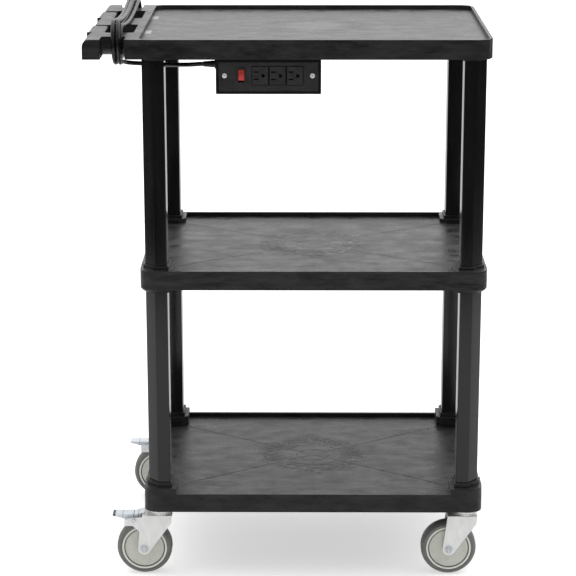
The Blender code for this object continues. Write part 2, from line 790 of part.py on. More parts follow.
def make_legs(materials):
    storeys = (
        ("upper", MIDDLE_LIP + MIDDLE_COLLAR_HEIGHT - MIDDLE_SOCKET_DEPTH + GAP,
         TOP_LIP - SKIRT_HEIGHT - TOP_BOSS_HEIGHT + TOP_SOCKET_DEPTH - GAP),
        ("lower", BOTTOM_LIP + BOTTOM_BLOCK_RISE + BOTTOM_COLLAR_HEIGHT - BOTTOM_SOCKET_DEPTH + GAP,
         MIDDLE_LIP - SKIRT_HEIGHT - MIDDLE_BOSS_HEIGHT + MIDDLE_LOWER_SOCKET_DEPTH - GAP),
    )
    outside = soften(leg_outline(), LEG_EDGE_RADIUS, SOFT_STEPS)
    inside = soften(offset(leg_outline(), -LEG_WALL), LEG_EDGE_RADIUS, SOFT_STEPS)
    for storey, bottom, top in storeys:
        for corner, sign_x, sign_y in CORNERS:
            leg = prism("leg", flip(outside, sign_x, sign_y), bottom, top,
                        [flip(inside, sign_x, sign_y)])
            finish(leg, f"{storey}_leg_{corner}", materials["leg"])


# Outlet strip

def strip_places():
    top = TOP_LIP - SKIRT_HEIGHT - GAP
    bottom = top - STRIP_HEIGHT
    face = -HALF_DEPTH + STRIP_SETBACK
    middle = (top + bottom) / 2
    return top, bottom, face, middle


def tab_places(side):
    # Centre of a screw hole in a mounting tab: X and Z.
    top = strip_places()[0]
    return STRIP_CENTRE + side * TAB_SPACING / 2, top + TAB_HOLE_HEIGHT


def screw(name, length, extra):
    # A pan-head screw with its head's seat at the origin and its shank along +Z.
    head = SCREW_HEAD_RADIUS + extra
    shank = SCREW_SHANK_RADIUS + extra
    crown = SCREW_HEAD_HEIGHT
    profile = [
        (0, -crown), (head * 0.6, -crown * 0.85), (head, -crown * 0.3), (head, 0),
        (shank, 0), (shank, length), (0, length + extra),
    ]
    return turned(name, profile, TINY_STEPS)


def tab_screw(name, side, extra):
    # It passes forwards through the tab into the inside of the skirt.
    x, z = tab_places(side)
    seat = -HALF_DEPTH + SKIRT_WALL + 2 * GAP + TAB_THICKNESS
    item = screw(name, TAB_SCREW_LENGTH, extra)
    turn = Matrix.Rotation(math.radians(90), 4, "X")
    return place(item, Matrix.Translation((x, seat + GAP, z)) @ turn)


def outlet_centre(index):
    return STRIP_CENTRE + OUTLETS_CENTRE + (index - 1) * OUTLET_PITCH


def make_strip(materials):
    top, bottom, face, middle = strip_places()
    left = STRIP_CENTRE - STRIP_LENGTH / 2
    right = STRIP_CENTRE + STRIP_LENGTH / 2
    items_z = middle + FACE_ITEMS_LIFT
    back = face + STRIP_DEPTH
    box_front = face + FACEPLATE_THICKNESS + GAP
    box = along_y(rectangle(left, right, bottom, top), box_front, back)
    inner = rectangle(left + STRIP_WALL, right - STRIP_WALL, bottom + STRIP_WALL, top - STRIP_WALL)
    box = cut(box, along_y(inner, box_front - OVERRUN, back - STRIP_WALL))
    for side in (-1, 1):
        x, z = tab_places(side)
        near = -HALF_DEPTH + SKIRT_WALL + 2 * GAP
        far = near + TAB_THICKNESS
        tab = along_x([
            (near, top + GAP), (box_front, top + GAP), (box_front, top - STRIP_WALL),
            (far, top - STRIP_WALL), (far, top + TAB_HEIGHT), (near, top + TAB_HEIGHT),
        ], x - TAB_WIDTH / 2, x + TAB_WIDTH / 2)
        box = join(box, tab)
        box = cut(box, along_y(circle((x, z), SCREW_SHANK_RADIUS + GAP, TINY_STEPS),
                               near - OVERRUN, far + OVERRUN))
    neck = turned("neck_hole", [(0, -STRIP_WALL * 2), (RELIEF_ROOT_RADIUS + GAP, -STRIP_WALL * 2),
                                (RELIEF_ROOT_RADIUS + GAP, STRIP_WALL * 2), (0, STRIP_WALL * 2)],
                  SMALL_STEPS)
    relief = relief_root()
    box = cut(box, place(neck, Matrix.Translation(relief) @ Matrix.Rotation(math.radians(90), 4, "Y")))
    finish(box, "strip_housing", materials["steel"])

    windows = []
    for index in range(3):
        x = outlet_centre(index)
        windows.append(rectangle(x - OUTLET_WIDTH / 2 - GAP, x + OUTLET_WIDTH / 2 + GAP,
                                 items_z - OUTLET_HEIGHT / 2 - GAP, items_z + OUTLET_HEIGHT / 2 + GAP))
    switch_x = STRIP_CENTRE + SWITCH_CENTRE
    inside_x = BEZEL_WIDTH / 2 - BEZEL_WALL / 2
    inside_z = BEZEL_HEIGHT / 2 - BEZEL_WALL / 2
    windows.append(rectangle(switch_x - inside_x - GAP, switch_x + inside_x + GAP,
                             items_z - inside_z - GAP, items_z + inside_z + GAP))
    for side in (-1, 1):
        windows.append(circle((STRIP_CENTRE + side * SCREW_SPACING / 2, items_z),
                              SCREW_SHANK_RADIUS + GAP, TINY_STEPS))
    plate = along_y(soften(rectangle(left, right, bottom, top), FACEPLATE_RADIUS, SOFT_STEPS),
                    face, face + FACEPLATE_THICKNESS, windows)
    finish(plate, "strip_faceplate", materials["steel"])

    for index in range(3):
        make_outlet(index, items_z, face, materials)
    make_switch(switch_x, items_z, face, materials)
    for side, label in ((-1, "left"), (1, "right")):
        item = screw("faceplate_screw", SCREW_LENGTH, 0.0)
        turn = Matrix.Rotation(math.radians(-90), 4, "X")
        x = STRIP_CENTRE + side * SCREW_SPACING / 2
        place(item, Matrix.Translation((x, face - GAP, items_z)) @ turn)
        finish(item, f"faceplate_screw_{label}", materials["zinc"])
        finish(tab_screw("strip_screw", side, 0.0), f"strip_screw_{label}", materials["zinc"])


def make_outlet(index, z, face, materials):
    x = outlet_centre(index)
    outline = rectangle(x - OUTLET_WIDTH / 2, x + OUTLET_WIDTH / 2,
                        z - OUTLET_HEIGHT / 2, z + OUTLET_HEIGHT / 2)
    body = along_y(outline, face - OUTLET_PROUD, face + OUTLET_DEPTH)
    front = face - OUTLET_PROUD - OVERRUN
    slot_end = face - OUTLET_PROUD + SLOT_DEPTH
    for side in (-1, 1):
        slot_x = x + SLOT_SHIFT
        slot_z = z + side * SLOT_SPACING / 2
        slot = rectangle(slot_x - SLOT_LENGTH / 2, slot_x + SLOT_LENGTH / 2,
                         slot_z - SLOT_WIDTH / 2, slot_z + SLOT_WIDTH / 2)
        body = cut(body, along_y(slot, front, slot_end))
    ground = arc((x + GROUND_SHIFT, z), GROUND_RADIUS, -90, 90, TINY_STEPS // 2)
    ground += [(x + GROUND_SHIFT - GROUND_RADIUS, z + GROUND_RADIUS),
               (x + GROUND_SHIFT - GROUND_RADIUS, z - GROUND_RADIUS)]
    body = cut(body, along_y(ground, front, slot_end))
    finish(body, f"outlet_{index + 1}", materials["outlet"])


def make_switch(x, z, face, materials):
    # A bezel with a flange outside the plate and a sleeve through it, and the rocker inside.
    flange = rectangle(x - BEZEL_WIDTH / 2, x + BEZEL_WIDTH / 2,
                       z - BEZEL_HEIGHT / 2, z + BEZEL_HEIGHT / 2)
    sleeve_x = BEZEL_WIDTH / 2 - BEZEL_WALL / 2
    sleeve_z = BEZEL_HEIGHT / 2 - BEZEL_WALL / 2
    sleeve = rectangle(x - sleeve_x, x + sleeve_x, z - sleeve_z, z + sleeve_z)
    hole_x = BEZEL_WIDTH / 2 - BEZEL_WALL
    hole_z = BEZEL_HEIGHT / 2 - BEZEL_WALL
    hole = rectangle(x - hole_x, x + hole_x, z - hole_z, z + hole_z)
    bezel = along_y(flange, face - GAP - BEZEL_PROUD, face - GAP)
    bezel = join(bezel, along_y(sleeve, face - GAP - BEZEL_PROUD / 2, face + BEZEL_DEPTH))
    bezel = cut(bezel, along_y(hole, face - BEZEL_PROUD - OVERRUN, face + BEZEL_DEPTH - BEZEL_WALL))
    axis_y, pin_reach = rocker_axis(face)
    bezel = cut(bezel, rocker_pin(x, axis_y, z, BEZEL_WIDTH / 2, ROCKER_PIN_RADIUS + GAP))
    finish(bezel, "switch_bezel", materials["outlet"])

    # The rocker's face is a shallow V-shaped dish; it rests with its upper end pressed in.
    half = hole_x - ROCKER_SIDE_GAP
    tilt = math.radians(ROCKER_TRAVEL / 2)
    reach = hole_z - ROCKER_SIDE_GAP - BEZEL_PROUD
    front = axis_y - face + BEZEL_PROUD + GAP
    crown = reach * math.cos(tilt)
    profile = [(-front, -crown), (0, -crown * 0.8), (front * 0.5, -ROCKER_PIN_RADIUS * 2),
               (front * 0.5, ROCKER_PIN_RADIUS * 2), (0, crown * 0.8), (-front, crown)]
    valley = (-front + (crown * math.tan(tilt)) * 0.5, 0)
    profile.append(valley)
    rocker = prism("switch_rocker", [(-a, b) for a, b in reversed(profile)], -half, half)
    # The profile's first axis becomes -Y and its second Z, with the thickness along X.
    basis = Matrix(((0, 0, 1, 0), (-1, 0, 0, 0), (0, 1, 0, 0), (0, 0, 0, 1)))
    place(rocker, basis)
    place(rocker, Matrix.Rotation(-tilt, 4, "X"))
    place(rocker, Matrix.Translation((x, axis_y, z)))
    rocker = join(rocker, rocker_pin(x, axis_y, z, pin_reach, ROCKER_PIN_RADIUS))
    finish(rocker, "switch_rocker", materials["red"])
    put_origin(rocker, (x, axis_y, z))


def rocker_axis(face):
    return face + BEZEL_DEPTH * 0.35, BEZEL_WIDTH / 2 - BEZEL_WALL * 0.75


def rocker_pin(x, y, z, reach, radius):
    pin = prism("rocker_pin", circle((0, 0), radius, TINY_STEPS), -reach, reach)
    turn = Matrix.Rotation(math.radians(90), 4, "Y")
    return place(pin, Matrix.Translation((x, y, z)) @ turn)


# Casters

def make_caster(corner, sign_x, sign_y, braked, materials):
    x = sign_x * STEM_X
    y = sign_y * STEM_Y
    stem_place = Matrix.Translation((x, y, 0))
    head_top = PLATE_BOTTOM - GAP
    stem = turned("stem", [
        (0, head_top - KINGPIN_HEAD_HEIGHT), (KINGPIN_HEAD_RADIUS, head_top - KINGPIN_HEAD_HEIGHT),
        (KINGPIN_HEAD_RADIUS, head_top),
        (KINGPIN_RADIUS, head_top), (KINGPIN_RADIUS, RACE_BOTTOM), (RACE_RADIUS, RACE_BOTTOM),
        (RACE_RADIUS, RACE_BOTTOM + RACE_HEIGHT * 0.45), (RACE_TOP_RADIUS, RACE_TOP),
        (STEM_RADIUS, RACE_TOP), (STEM_RADIUS, RACE_TOP + STEM_LENGTH * 0.94),
        (STEM_RADIUS * 0.75, RACE_TOP + STEM_LENGTH), (0, RACE_TOP + STEM_LENGTH),
    ], SMALL_STEPS)
    place(stem, stem_place)
    finish(stem, f"{corner}_stem", materials["zinc"])
    yoke = make_yoke(braked)
    place(yoke, stem_place)
    finish(yoke, f"{corner}_yoke", materials["zinc"])
    put_origin(yoke, (x, y, PLATE_BOTTOM))
    axle_x = x - CASTER_TRAIL
    on_side = Matrix.Rotation(math.radians(90), 4, "X")
    axle_place = Matrix.Translation((axle_x, y, WHEEL_RADIUS)) @ on_side
    outside = FORK_INSIDE / 2 + FORK_THICKNESS + GAP
    axle = turned("axle", [
        (0, -outside - AXLE_HEAD_HEIGHT), (AXLE_HEAD_RADIUS * 0.85, -outside - AXLE_HEAD_HEIGHT),
        (AXLE_HEAD_RADIUS, -outside), (AXLE_RADIUS, -outside), (AXLE_RADIUS, outside),
        (AXLE_HEAD_RADIUS, outside), (AXLE_HEAD_RADIUS * 0.85, outside + AXLE_HEAD_HEIGHT),
        (0, outside + AXLE_HEAD_HEIGHT),
    ], TINY_STEPS)
    place(axle, axle_place)
    finish(axle, f"{corner}_axle", materials["zinc"])
    make_wheel(corner, axle_place, (axle_x, y, WHEEL_RADIUS), materials)
    if braked:
        make_pedal(corner, x, y, materials)


def fork_outline(braked):
    # The side of a yoke in X and Z, from its crown down to the round foot at the axle.
    foot = (-CASTER_TRAIL, WHEEL_RADIUS)
    outline = [(FORK_FRONT, PLATE_BOTTOM), (FORK_FRONT, PLATE_TOP), (-FORK_BACK, PLATE_TOP)]
    if braked:
        outline += [
            (-FORK_BACK, EAR_TOP + PEDAL_THICKNESS / 2),
            (-PEDAL_PIVOT_BACK, EAR_TOP),
            (-EAR_BACK, EAR_TOP - PEDAL_THICKNESS),
            (-EAR_BACK, EAR_BOTTOM),
            (-PEDAL_PIVOT_BACK - PEDAL_PIN_RADIUS, EAR_BOTTOM),
            (-FORK_BACK - FORK_FOOT_RADIUS / 2, EAR_BOTTOM - FORK_FOOT_RADIUS),
        ]
    outline += arc(foot, FORK_FOOT_RADIUS, 175, 320, SMALL_STEPS // 2)
    outline.append((FORK_FRONT * 0.95, PLATE_BOTTOM - FORK_FOOT_RADIUS))
    return outline


def make_yoke(braked):
    # Bent sheet: the whole side outline, less the room for the wheel between the two cheeks.
    inside = FORK_INSIDE / 2
    outside = inside + FORK_THICKNESS
    yoke = along_y(fork_outline(braked), -outside, outside)
    room = prism("room", rectangle(-EAR_BACK - OVERRUN, FORK_FRONT + OVERRUN, -inside, inside),
                 0, PLATE_BOTTOM)
    axle_hole = along_y(circle((-CASTER_TRAIL, WHEEL_RADIUS), AXLE_RADIUS + GAP, TINY_STEPS),
                        -outside - OVERRUN, outside + OVERRUN)
    yoke = cut(yoke, room, axle_hole)
    if braked:
        pivot = (-PEDAL_PIVOT_BACK, PEDAL_PIVOT_HEIGHT)
        pin_hole = along_y(circle(pivot, PEDAL_PIN_RADIUS + GAP, TINY_STEPS),
                           -outside - OVERRUN, outside + OVERRUN)
        yoke = cut(yoke, pin_hole)
    cup = prism("cup", circle((0, 0), FORK_CUP_RADIUS, ROUND_STEPS),
                PLATE_TOP - FORK_CROWN_THICKNESS / 2, CUP_TOP)
    yoke = join(yoke, cup)
    bore = circle((0, 0), KINGPIN_RADIUS + GAP, SMALL_STEPS)
    return cut(yoke, prism("kingpin_bore", bore, PLATE_BOTTOM - OVERRUN, CUP_TOP + OVERRUN))


def make_wheel(corner, axle_place, centre, materials):
    half = TYRE_WIDTH / 2
    inner = HUB_RADIUS + GAP
    tyre = turned("tyre", [
        (inner, -HUB_WIDTH / 2), (inner, HUB_WIDTH / 2), (inner + TYRE_EDGE / 2, half - TYRE_EDGE / 3),
        (WHEEL_RADIUS - TYRE_EDGE, half), (WHEEL_RADIUS - TYRE_EDGE * 0.3, half - TYRE_EDGE * 0.6),
        (WHEEL_RADIUS, half - TYRE_EDGE * 1.6), (WHEEL_RADIUS, -half + TYRE_EDGE * 1.6),
        (WHEEL_RADIUS - TYRE_EDGE * 0.3, -half + TYRE_EDGE * 0.6), (WHEEL_RADIUS - TYRE_EDGE, -half),
        (inner + TYRE_EDGE / 2, -half + TYRE_EDGE / 3),
    ], WHEEL_STEPS)
    place(tyre, axle_place)
    finish(tyre, f"{corner}_tyre", materials["tyre"])
    put_origin(tyre, centre)
    rim = HUB_WIDTH / 2
    groove_out = HUB_RADIUS - HUB_RING_WIDTH
    groove_in = groove_out - HUB_GROOVE_WIDTH
    sleeve = FORK_INSIDE / 2 - 2 * GAP
    bore = AXLE_RADIUS + GAP
    side = [
        (bore, sleeve), (HUB_SLEEVE_RADIUS, sleeve), (HUB_SLEEVE_RADIUS, rim - HUB_RECESS),
        (groove_in, rim - HUB_RECESS), (groove_in, rim - HUB_GROOVE_DEPTH),
        (groove_out, rim - HUB_GROOVE_DEPTH), (groove_out, rim), (HUB_RADIUS, rim),
    ]
    profile = side + [(radius, -height) for radius, height in reversed(side)]
    hub = turned("hub", profile, WHEEL_STEPS)
    place(hub, axle_place)
    finish(hub, f"{corner}_hub", materials["hub"])
    put_origin(hub, centre)


def make_pedal(corner, x, y, materials):
    # A lever on a cross pin over the wheel: its tip goes down and its shoe presses the tyre.
    pivot = (-PEDAL_PIVOT_BACK, PEDAL_PIVOT_HEIGHT)
    half = PEDAL_WIDTH / 2
    under = PEDAL_TOP - PEDAL_THICKNESS
    low = PEDAL_TOP - PEDAL_SIDE_DEPTH
    lip = PLATE_TOP + GAP
    lip_top = lip + PEDAL_LIP_THICKNESS
    lever = along_y([
        (-PEDAL_FRONT_BACK, lip), (-PEDAL_LIP_BACK, lip), (-PEDAL_LIP_BACK, lip_top), (-PEDAL_FRONT_BACK, lip_top),
        (-PEDAL_FRONT_BACK - PEDAL_LIP_SLOPE, PEDAL_TOP), (-PEDAL_TIP_BACK, PEDAL_TOP),
        (-PEDAL_TIP_BACK, PEDAL_TOP - PEDAL_TIP_DEPTH), (-PEDAL_SIDE_BACK, low), (-PEDAL_FRONT_BACK, low),
    ], -half, half)
    # It is hollow from below, open towards the fork, and its lip lies over the crown's edge.
    inside = half - PEDAL_WALL
    end = PEDAL_WALL - PEDAL_TIP_BACK
    front = OVERRUN - PEDAL_FRONT_BACK
    lever = cut(lever, along_y([
        (end, low - OVERRUN), (end, under), (front, under), (front, low - OVERRUN),
    ], -inside, inside))
    neck = PEDAL_KNUCKLE_RADIUS * 0.8
    root = PEDAL_TOP - PEDAL_THICKNESS / 2
    knuckle = arc(pivot, PEDAL_KNUCKLE_RADIUS, 143, 397, SMALL_STEPS)
    knuckle += [(pivot[0] + neck, root), (pivot[0] - neck, root)]
    inside += PEDAL_WALL / 2
    lever = join(lever, along_y(knuckle, -inside, inside))
    # The shoe's underside follows the tyre, a running gap away.
    wheel = (-CASTER_TRAIL, WHEEL_RADIUS)
    reach = WHEEL_RADIUS + PEDAL_SHOE_GAP
    middle = CASTER_TRAIL - PEDAL_SHOE_BACK
    near = math.degrees(math.acos((middle - PEDAL_SHOE_WIDTH / 2) / reach))
    far = math.degrees(math.acos((middle + PEDAL_SHOE_WIDTH / 2) / reach))
    shoe_side = arc(wheel, reach, near, far, SOFT_STEPS)
    shoe_side += [(shoe_side[-1][0], root), (shoe_side[0][0], root)]
    shoe = along_y(shoe_side, -inside, inside)
    pin_hole = circle(pivot, PEDAL_PIN_RADIUS + GAP, TINY_STEPS)
    pedal = cut(join(lever, shoe), along_y(pin_hole, -half - OVERRUN, half + OVERRUN))
    place(pedal, Matrix.Translation((x, y, 0)))
    finish(pedal, f"{corner}_brake_pedal", materials["zinc"])
    put_origin(pedal, (x + pivot[0], y, pivot[1]))
    outside = FORK_INSIDE / 2 + FORK_THICKNESS + GAP
    head = PEDAL_PIN_RADIUS * 1.6
    pin = turned("pedal_pin", [
        (0, -outside - PEDAL_PIN_RADIUS), (head, -outside - PEDAL_PIN_RADIUS), (head, -outside),
        (PEDAL_PIN_RADIUS, -outside), (PEDAL_PIN_RADIUS, outside), (head, outside),
        (head, outside + PEDAL_PIN_RADIUS), (0, outside + PEDAL_PIN_RADIUS),
    ], TINY_STEPS)
    turn = Matrix.Rotation(math.radians(90), 4, "X")
    place(pin, Matrix.Translation((x + pivot[0], y, pivot[1])) @ turn)
    finish(pin, f"{corner}_pedal_pin", materials["zinc"])


# Cord

def relief_root():
    # Where the strain relief passes through the left end of the housing.
    top, _, face, _ = strip_places()
    return Vector((STRIP_CENTRE - STRIP_LENGTH / 2, face + RELIEF_SETBACK, top - RELIEF_DROP))


def make_strain_relief(materials):
    # A flange inside the housing, a neck through its wall and a tapered sleeve outside.
    inside = -STRIP_WALL - GAP
    relief = turned("strain_relief", [
        (0, inside - RELIEF_FLANGE_THICKNESS), (RELIEF_FLANGE_RADIUS, inside - RELIEF_FLANGE_THICKNESS),
        (RELIEF_FLANGE_RADIUS, inside), (RELIEF_ROOT_RADIUS, inside),
        (RELIEF_ROOT_RADIUS, GAP), (RELIEF_FLANGE_RADIUS, GAP),
        (RELIEF_FLANGE_RADIUS, GAP + RELIEF_FLANGE_THICKNESS),
        (RELIEF_ROOT_RADIUS, GAP + RELIEF_FLANGE_THICKNESS),
        (CORD_RADIUS * 1.15, RELIEF_LENGTH), (0, RELIEF_LENGTH),
    ], TINY_STEPS)
    turn = Matrix.Rotation(math.radians(-90), 4, "Y")
    place(relief, Matrix.Translation(relief_root()) @ turn)
    finish(relief, "strip_strain_relief", materials["cord"])


def winding_right():
    # X of the winding's first turn, so that its last turn still clears the notch's side.
    land = -HALF_WIDTH - GRIP_LAND
    return land - CORD_RADIUS - CORD_PITCH_GAP - (WINDING_TURNS - 2 * WINDING_OUTER_TURNS) * CORD_PITCH


def winding_point(turns):
    # One point of the winding, from its outer start at the front of the grip. A turn goes up
    # the front notch, back over the webs, down the rear notch and forwards below the webs.
    # The outer layer moves away from the shelf, the inner one comes back towards it.
    right = winding_right()
    outer = WINDING_OUTER_TURNS
    if turns <= outer:
        x = right - CORD_PITCH * turns
    else:
        x = right - CORD_PITCH * (2 * outer - turns)
    passed = (turns - outer + WINDING_CLIMB_BEFORE) / (WINDING_CLIMB_BEFORE + WINDING_CLIMB_AFTER)
    passed = min(max(passed, 0.0), 1.0)
    layer = 1 - passed ** 2 * (3 - 2 * passed)
    radius = WINDING_FOLD_RADIUS + (CORD_DIAMETER + WINDING_LAYER_GAP) * layer
    middle_z = winding_middle()
    step = (turns % 1.0) * LOOP_POINTS
    end = WINDING_FOLD_CENTRE
    if step <= FOLD_STEPS:
        angle = math.pi * step / FOLD_STEPS
        return Vector((x, -end - radius * math.sin(angle), middle_z - radius * math.cos(angle)))
    step -= FOLD_STEPS
    if step <= RUN_STEPS:
        y = -end + 2 * end * step / RUN_STEPS
        dip = WINDING_FOLD_RADIUS + middle_z - TOP_LIP - CORD_RADIUS - WINDING_CLEARANCE
        return Vector((x, y, middle_z + radius - dip * (1 - (y / end) ** 2)))
    step -= RUN_STEPS
    if step <= FOLD_STEPS:
        angle = math.pi * step / FOLD_STEPS
        return Vector((x, end + radius * math.sin(angle), middle_z + radius * math.cos(angle)))
    step -= FOLD_STEPS
    y = end - 2 * end * step / RUN_STEPS
    return Vector((x, y, middle_z - radius - WINDING_SAG * (1 - (y / end) ** 2)))


def winding_middle():
    # Height of the folds' centres: the inner layer touches the underside of the webs.
    return TOP_LIP - SKIRT_HEIGHT - WINDING_CLEARANCE - CORD_RADIUS + WINDING_FOLD_RADIUS


def winding_points():
    count = round(WINDING_TURNS * LOOP_POINTS)
    points = [winding_point(step / LOOP_POINTS) for step in range(count + 1)]
    straight = Vector((0, CORD_DIAMETER, 0))
    points.insert(0, points[0] + straight)
    points.append(points[-1] - straight)
    return points


def lead_route():
    # From the strain relief along the underside of the top shelf, behind the front left leg.
    start = relief_root() - Vector((RELIEF_LENGTH + GAP, 0, 0))
    end = winding_points()[0] + Vector((0, GAP, 0))
    middle = [Vector((x, y, TOP_LIP + z)) for x, y, z in LEAD_WAYPOINTS]
    out = start - Vector((CORD_RADIUS, 0, 0))
    return [start, out, *middle, end + Vector((0, CORD_DIAMETER, 0)), end]


def tail_route():
    # From the winding's inner end below the rear web and up into the rear hand hole, where
    # the plug is tucked.
    start = winding_points()[-1] - Vector((0, GAP, 0))
    end = plug_back() + Vector((0, GAP, 0))
    web = start.copy()
    web.y = grip_places()[1] - CORD_RADIUS
    arrival = end + Vector((0, CORD_RADIUS, 0))
    rise = arrival - web
    route = [start, start.lerp(web, 1 / 2), web]
    for share in (1 / 4, 1 / 2, 3 / 4):
        height = 2 * share ** 2 if share <= 1 / 2 else 1 - 2 * (1 - share) ** 2
        route.append(web + Vector((0, rise.y * share, rise.z * height)))
    return [*route, arrival, end]


def smooth_curve(route, spacing):
    # A Catmull-Rom curve through the route's points, read at an even spacing, between a
    # straight first and a straight last stretch.
    fine = []
    for index in range(1, len(route) - 2):
        before, here, after, beyond = route[index - 1:index + 3]
        for step in range(CURVE_STEPS):
            share = step / CURVE_STEPS
            point = here * 2 + (after - before) * share
            point += (before * 2 - here * 5 + after * 4 - beyond) * share ** 2
            point += (here * 3 - before - after * 3 + beyond) * share ** 3
            fine.append(point / 2)
    fine.append(route[-2].copy())
    lengths = [0.0]
    for near, far in zip(fine, fine[1:]):
        lengths.append(lengths[-1] + (far - near).length)
    count = max(2, round(lengths[-1] / spacing))
    points = [route[0]]
    index = 0
    for step in range(count + 1):
        target = lengths[-1] * step / count
        while index < len(fine) - 2 and lengths[index + 1] < target:
            index += 1
        share = (target - lengths[index]) / (lengths[index + 1] - lengths[index])
        points.append(fine[index].lerp(fine[index + 1], min(share, 1.0)))
    points.append(route[-1])
    return points


def tube(name, points, resolution, material):
    curve = bpy.data.curves.new(name, "CURVE")
    curve.dimensions = "3D"
    curve.bevel_depth = CORD_RADIUS
    curve.bevel_resolution = resolution
    curve.use_fill_caps = True
    spline = curve.splines.new("POLY")
    spline.points.add(len(points) - 1)
    for target, point in zip(spline.points, points):
        target.co = (*point, 1.0)
    curve.materials.append(material)
    item = bpy.data.objects.new(name, curve)
    bpy.context.scene.collection.objects.link(item)
    return item


def path_length(points):
    return sum((far - near).length for near, far in zip(points, points[1:]))


def least_gap(points):
    # The least distance between stretches that aren't neighbours along the cord.
    fine = []
    for near, far in zip(points, points[1:]):
        pieces = max(1, round((far - near).length / CORD_RADIUS))
        for step in range(pieces):
            fine.append(near.lerp(far, step / pieces))
    travelled = [0.0]
    for near, far in zip(fine, fine[1:]):
        travelled.append(travelled[-1] + (far - near).length)
    apart = 4 * CORD_DIAMETER
    best = path_length(points)
    for index, point in enumerate(fine):
        for other in range(index + 1, len(fine)):
            if travelled[other] - travelled[index] < apart:
                continue
            best = min(best, (fine[other] - point).length)
    return best - CORD_DIAMETER


def plug_back():
    # Where the cord enters the plug's neck.
    x = winding_points()[-1].x
    return Vector((x, PLUG_PLACE + PLUG_NECK_LENGTH, TOP_LIP - PLUG_DROP))


def make_plug(materials):
    # A moulded plug with a neck, two blades and an earth pin that point to the front.
    back = plug_back()
    across = PLUG_WIDTH / 2
    high = PLUG_HEIGHT / 2
    body = soften(rectangle(-across, across, -high, high), high / 2, SOFT_STEPS)
    across *= 0.72
    high *= 0.76
    small = soften(rectangle(-across, across, -high, high), PLUG_HEIGHT / 4, SOFT_STEPS)
    start = PLUG_NECK_LENGTH
    end = start + PLUG_LENGTH
    plug = loft("plug", [(small, start), (body, start + PLUG_LENGTH * 0.4), (body, end)])
    neck = turned("neck", [
        (0, 0), (PLUG_NECK_RADIUS * 0.75, 0), (PLUG_NECK_RADIUS, start + OVERRUN), (0, start + OVERRUN),
    ], TINY_STEPS)
    plug = join(plug, neck)
    for side in (-1, 1):
        x = side * PLUG_BLADE_SPACING / 2
        half_thickness = PLUG_BLADE_THICKNESS / 2
        blade = prism("blade", rectangle(x - half_thickness, x + half_thickness,
                                         0, PLUG_BLADE_WIDTH), end - OVERRUN, end + PLUG_BLADE_LENGTH)
        plug = join(plug, blade)
    pin = prism("earth_pin", circle((0, -PLUG_HEIGHT / 4), PLUG_GROUND_RADIUS, TINY_STEPS),
                end - OVERRUN, end + PLUG_BLADE_LENGTH)
    plug = join(plug, pin)
    turn = Matrix.Rotation(math.radians(90), 4, "X")
    place(plug, Matrix.Translation(back) @ turn)
    finish(plug, "power_plug", materials["cord"])


def make_cord(materials):
    make_strain_relief(materials)
    lead = smooth_curve(lead_route(), CORD_DIAMETER * 1.6)
    winding = winding_points()
    tail = smooth_curve(tail_route(), CORD_DIAMETER * 1.2)
    tube("power_cord_lead", lead, 2, materials["cord"])
    tube("power_cord_hank", winding, 1, materials["cord"])
    tube("power_cord_tail", tail, 2, materials["cord"])
    make_plug(materials)
    total = path_length(lead) + path_length(winding) + path_length(tail)
    print("cord length", round(total, 4), "m, least gap of the winding to itself",
          round(least_gap(winding) * 1000, 3), "mm")


# The whole cart

def clear_scene():
    for item in list(bpy.data.objects):
        bpy.data.objects.remove(item, do_unlink=True)


def centre_cart():
    # Everything above is built about the shelves' middle; the cart's own middle is further left.
    for item in bpy.context.scene.objects:
        if item.type == "CURVE":
            item.data.transform(Matrix.Translation((CART_X, 0, 0)))
        else:
            item.location.x += CART_X


def main():
    clear_scene()
    materials = make_materials()
    make_top_shelf(materials)
    make_middle_shelf(materials)
    make_bottom_shelf(materials)
    make_legs(materials)
    make_strip(materials)
    make_cord(materials)
    for corner, sign_x, sign_y in CORNERS:
        make_caster(corner, sign_x, sign_y, sign_x < 0, materials)
    centre_cart()


main()
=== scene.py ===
import json
import math

import bmesh
import bpy
from mathutils import Matrix, Vector


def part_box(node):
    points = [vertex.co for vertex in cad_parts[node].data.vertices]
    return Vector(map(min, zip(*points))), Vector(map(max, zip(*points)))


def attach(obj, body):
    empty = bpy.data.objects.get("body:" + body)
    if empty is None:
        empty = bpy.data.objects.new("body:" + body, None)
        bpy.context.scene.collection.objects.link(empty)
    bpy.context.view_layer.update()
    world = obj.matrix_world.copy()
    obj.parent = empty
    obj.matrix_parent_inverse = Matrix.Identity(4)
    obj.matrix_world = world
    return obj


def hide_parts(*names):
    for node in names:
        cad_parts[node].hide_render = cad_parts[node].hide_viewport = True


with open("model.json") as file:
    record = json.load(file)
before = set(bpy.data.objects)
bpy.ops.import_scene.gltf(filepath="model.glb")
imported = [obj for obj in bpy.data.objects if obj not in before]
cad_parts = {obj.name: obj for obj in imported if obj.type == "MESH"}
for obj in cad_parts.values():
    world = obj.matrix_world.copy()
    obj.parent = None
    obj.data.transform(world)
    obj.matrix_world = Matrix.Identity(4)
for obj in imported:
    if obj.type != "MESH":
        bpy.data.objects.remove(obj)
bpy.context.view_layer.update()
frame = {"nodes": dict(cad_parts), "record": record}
nodes = frame["nodes"]
shelfMiddle = 0.04535  # x of the shelves' middle
topLip = 0.981  # z of the top shelf's rim
corners = ("front_left", "front_right", "rear_left", "rear_right")
print("frame loaded:", len(nodes), "nodes")


def linkObject(name, data):
    item = bpy.data.objects.new(name, data)
    bpy.context.scene.collection.objects.link(item)
    return item


# Camera, where the photograph was taken from
cameraLook = {"focalPixels": 2066.84, "imagePixels": 576, "sensor": 36, "farthest": 60, "yaw": -0.0080,
              "pitch": 0.2627, "roll": -0.0008, "place": (0.02838, -3.72564, 1.48472)}


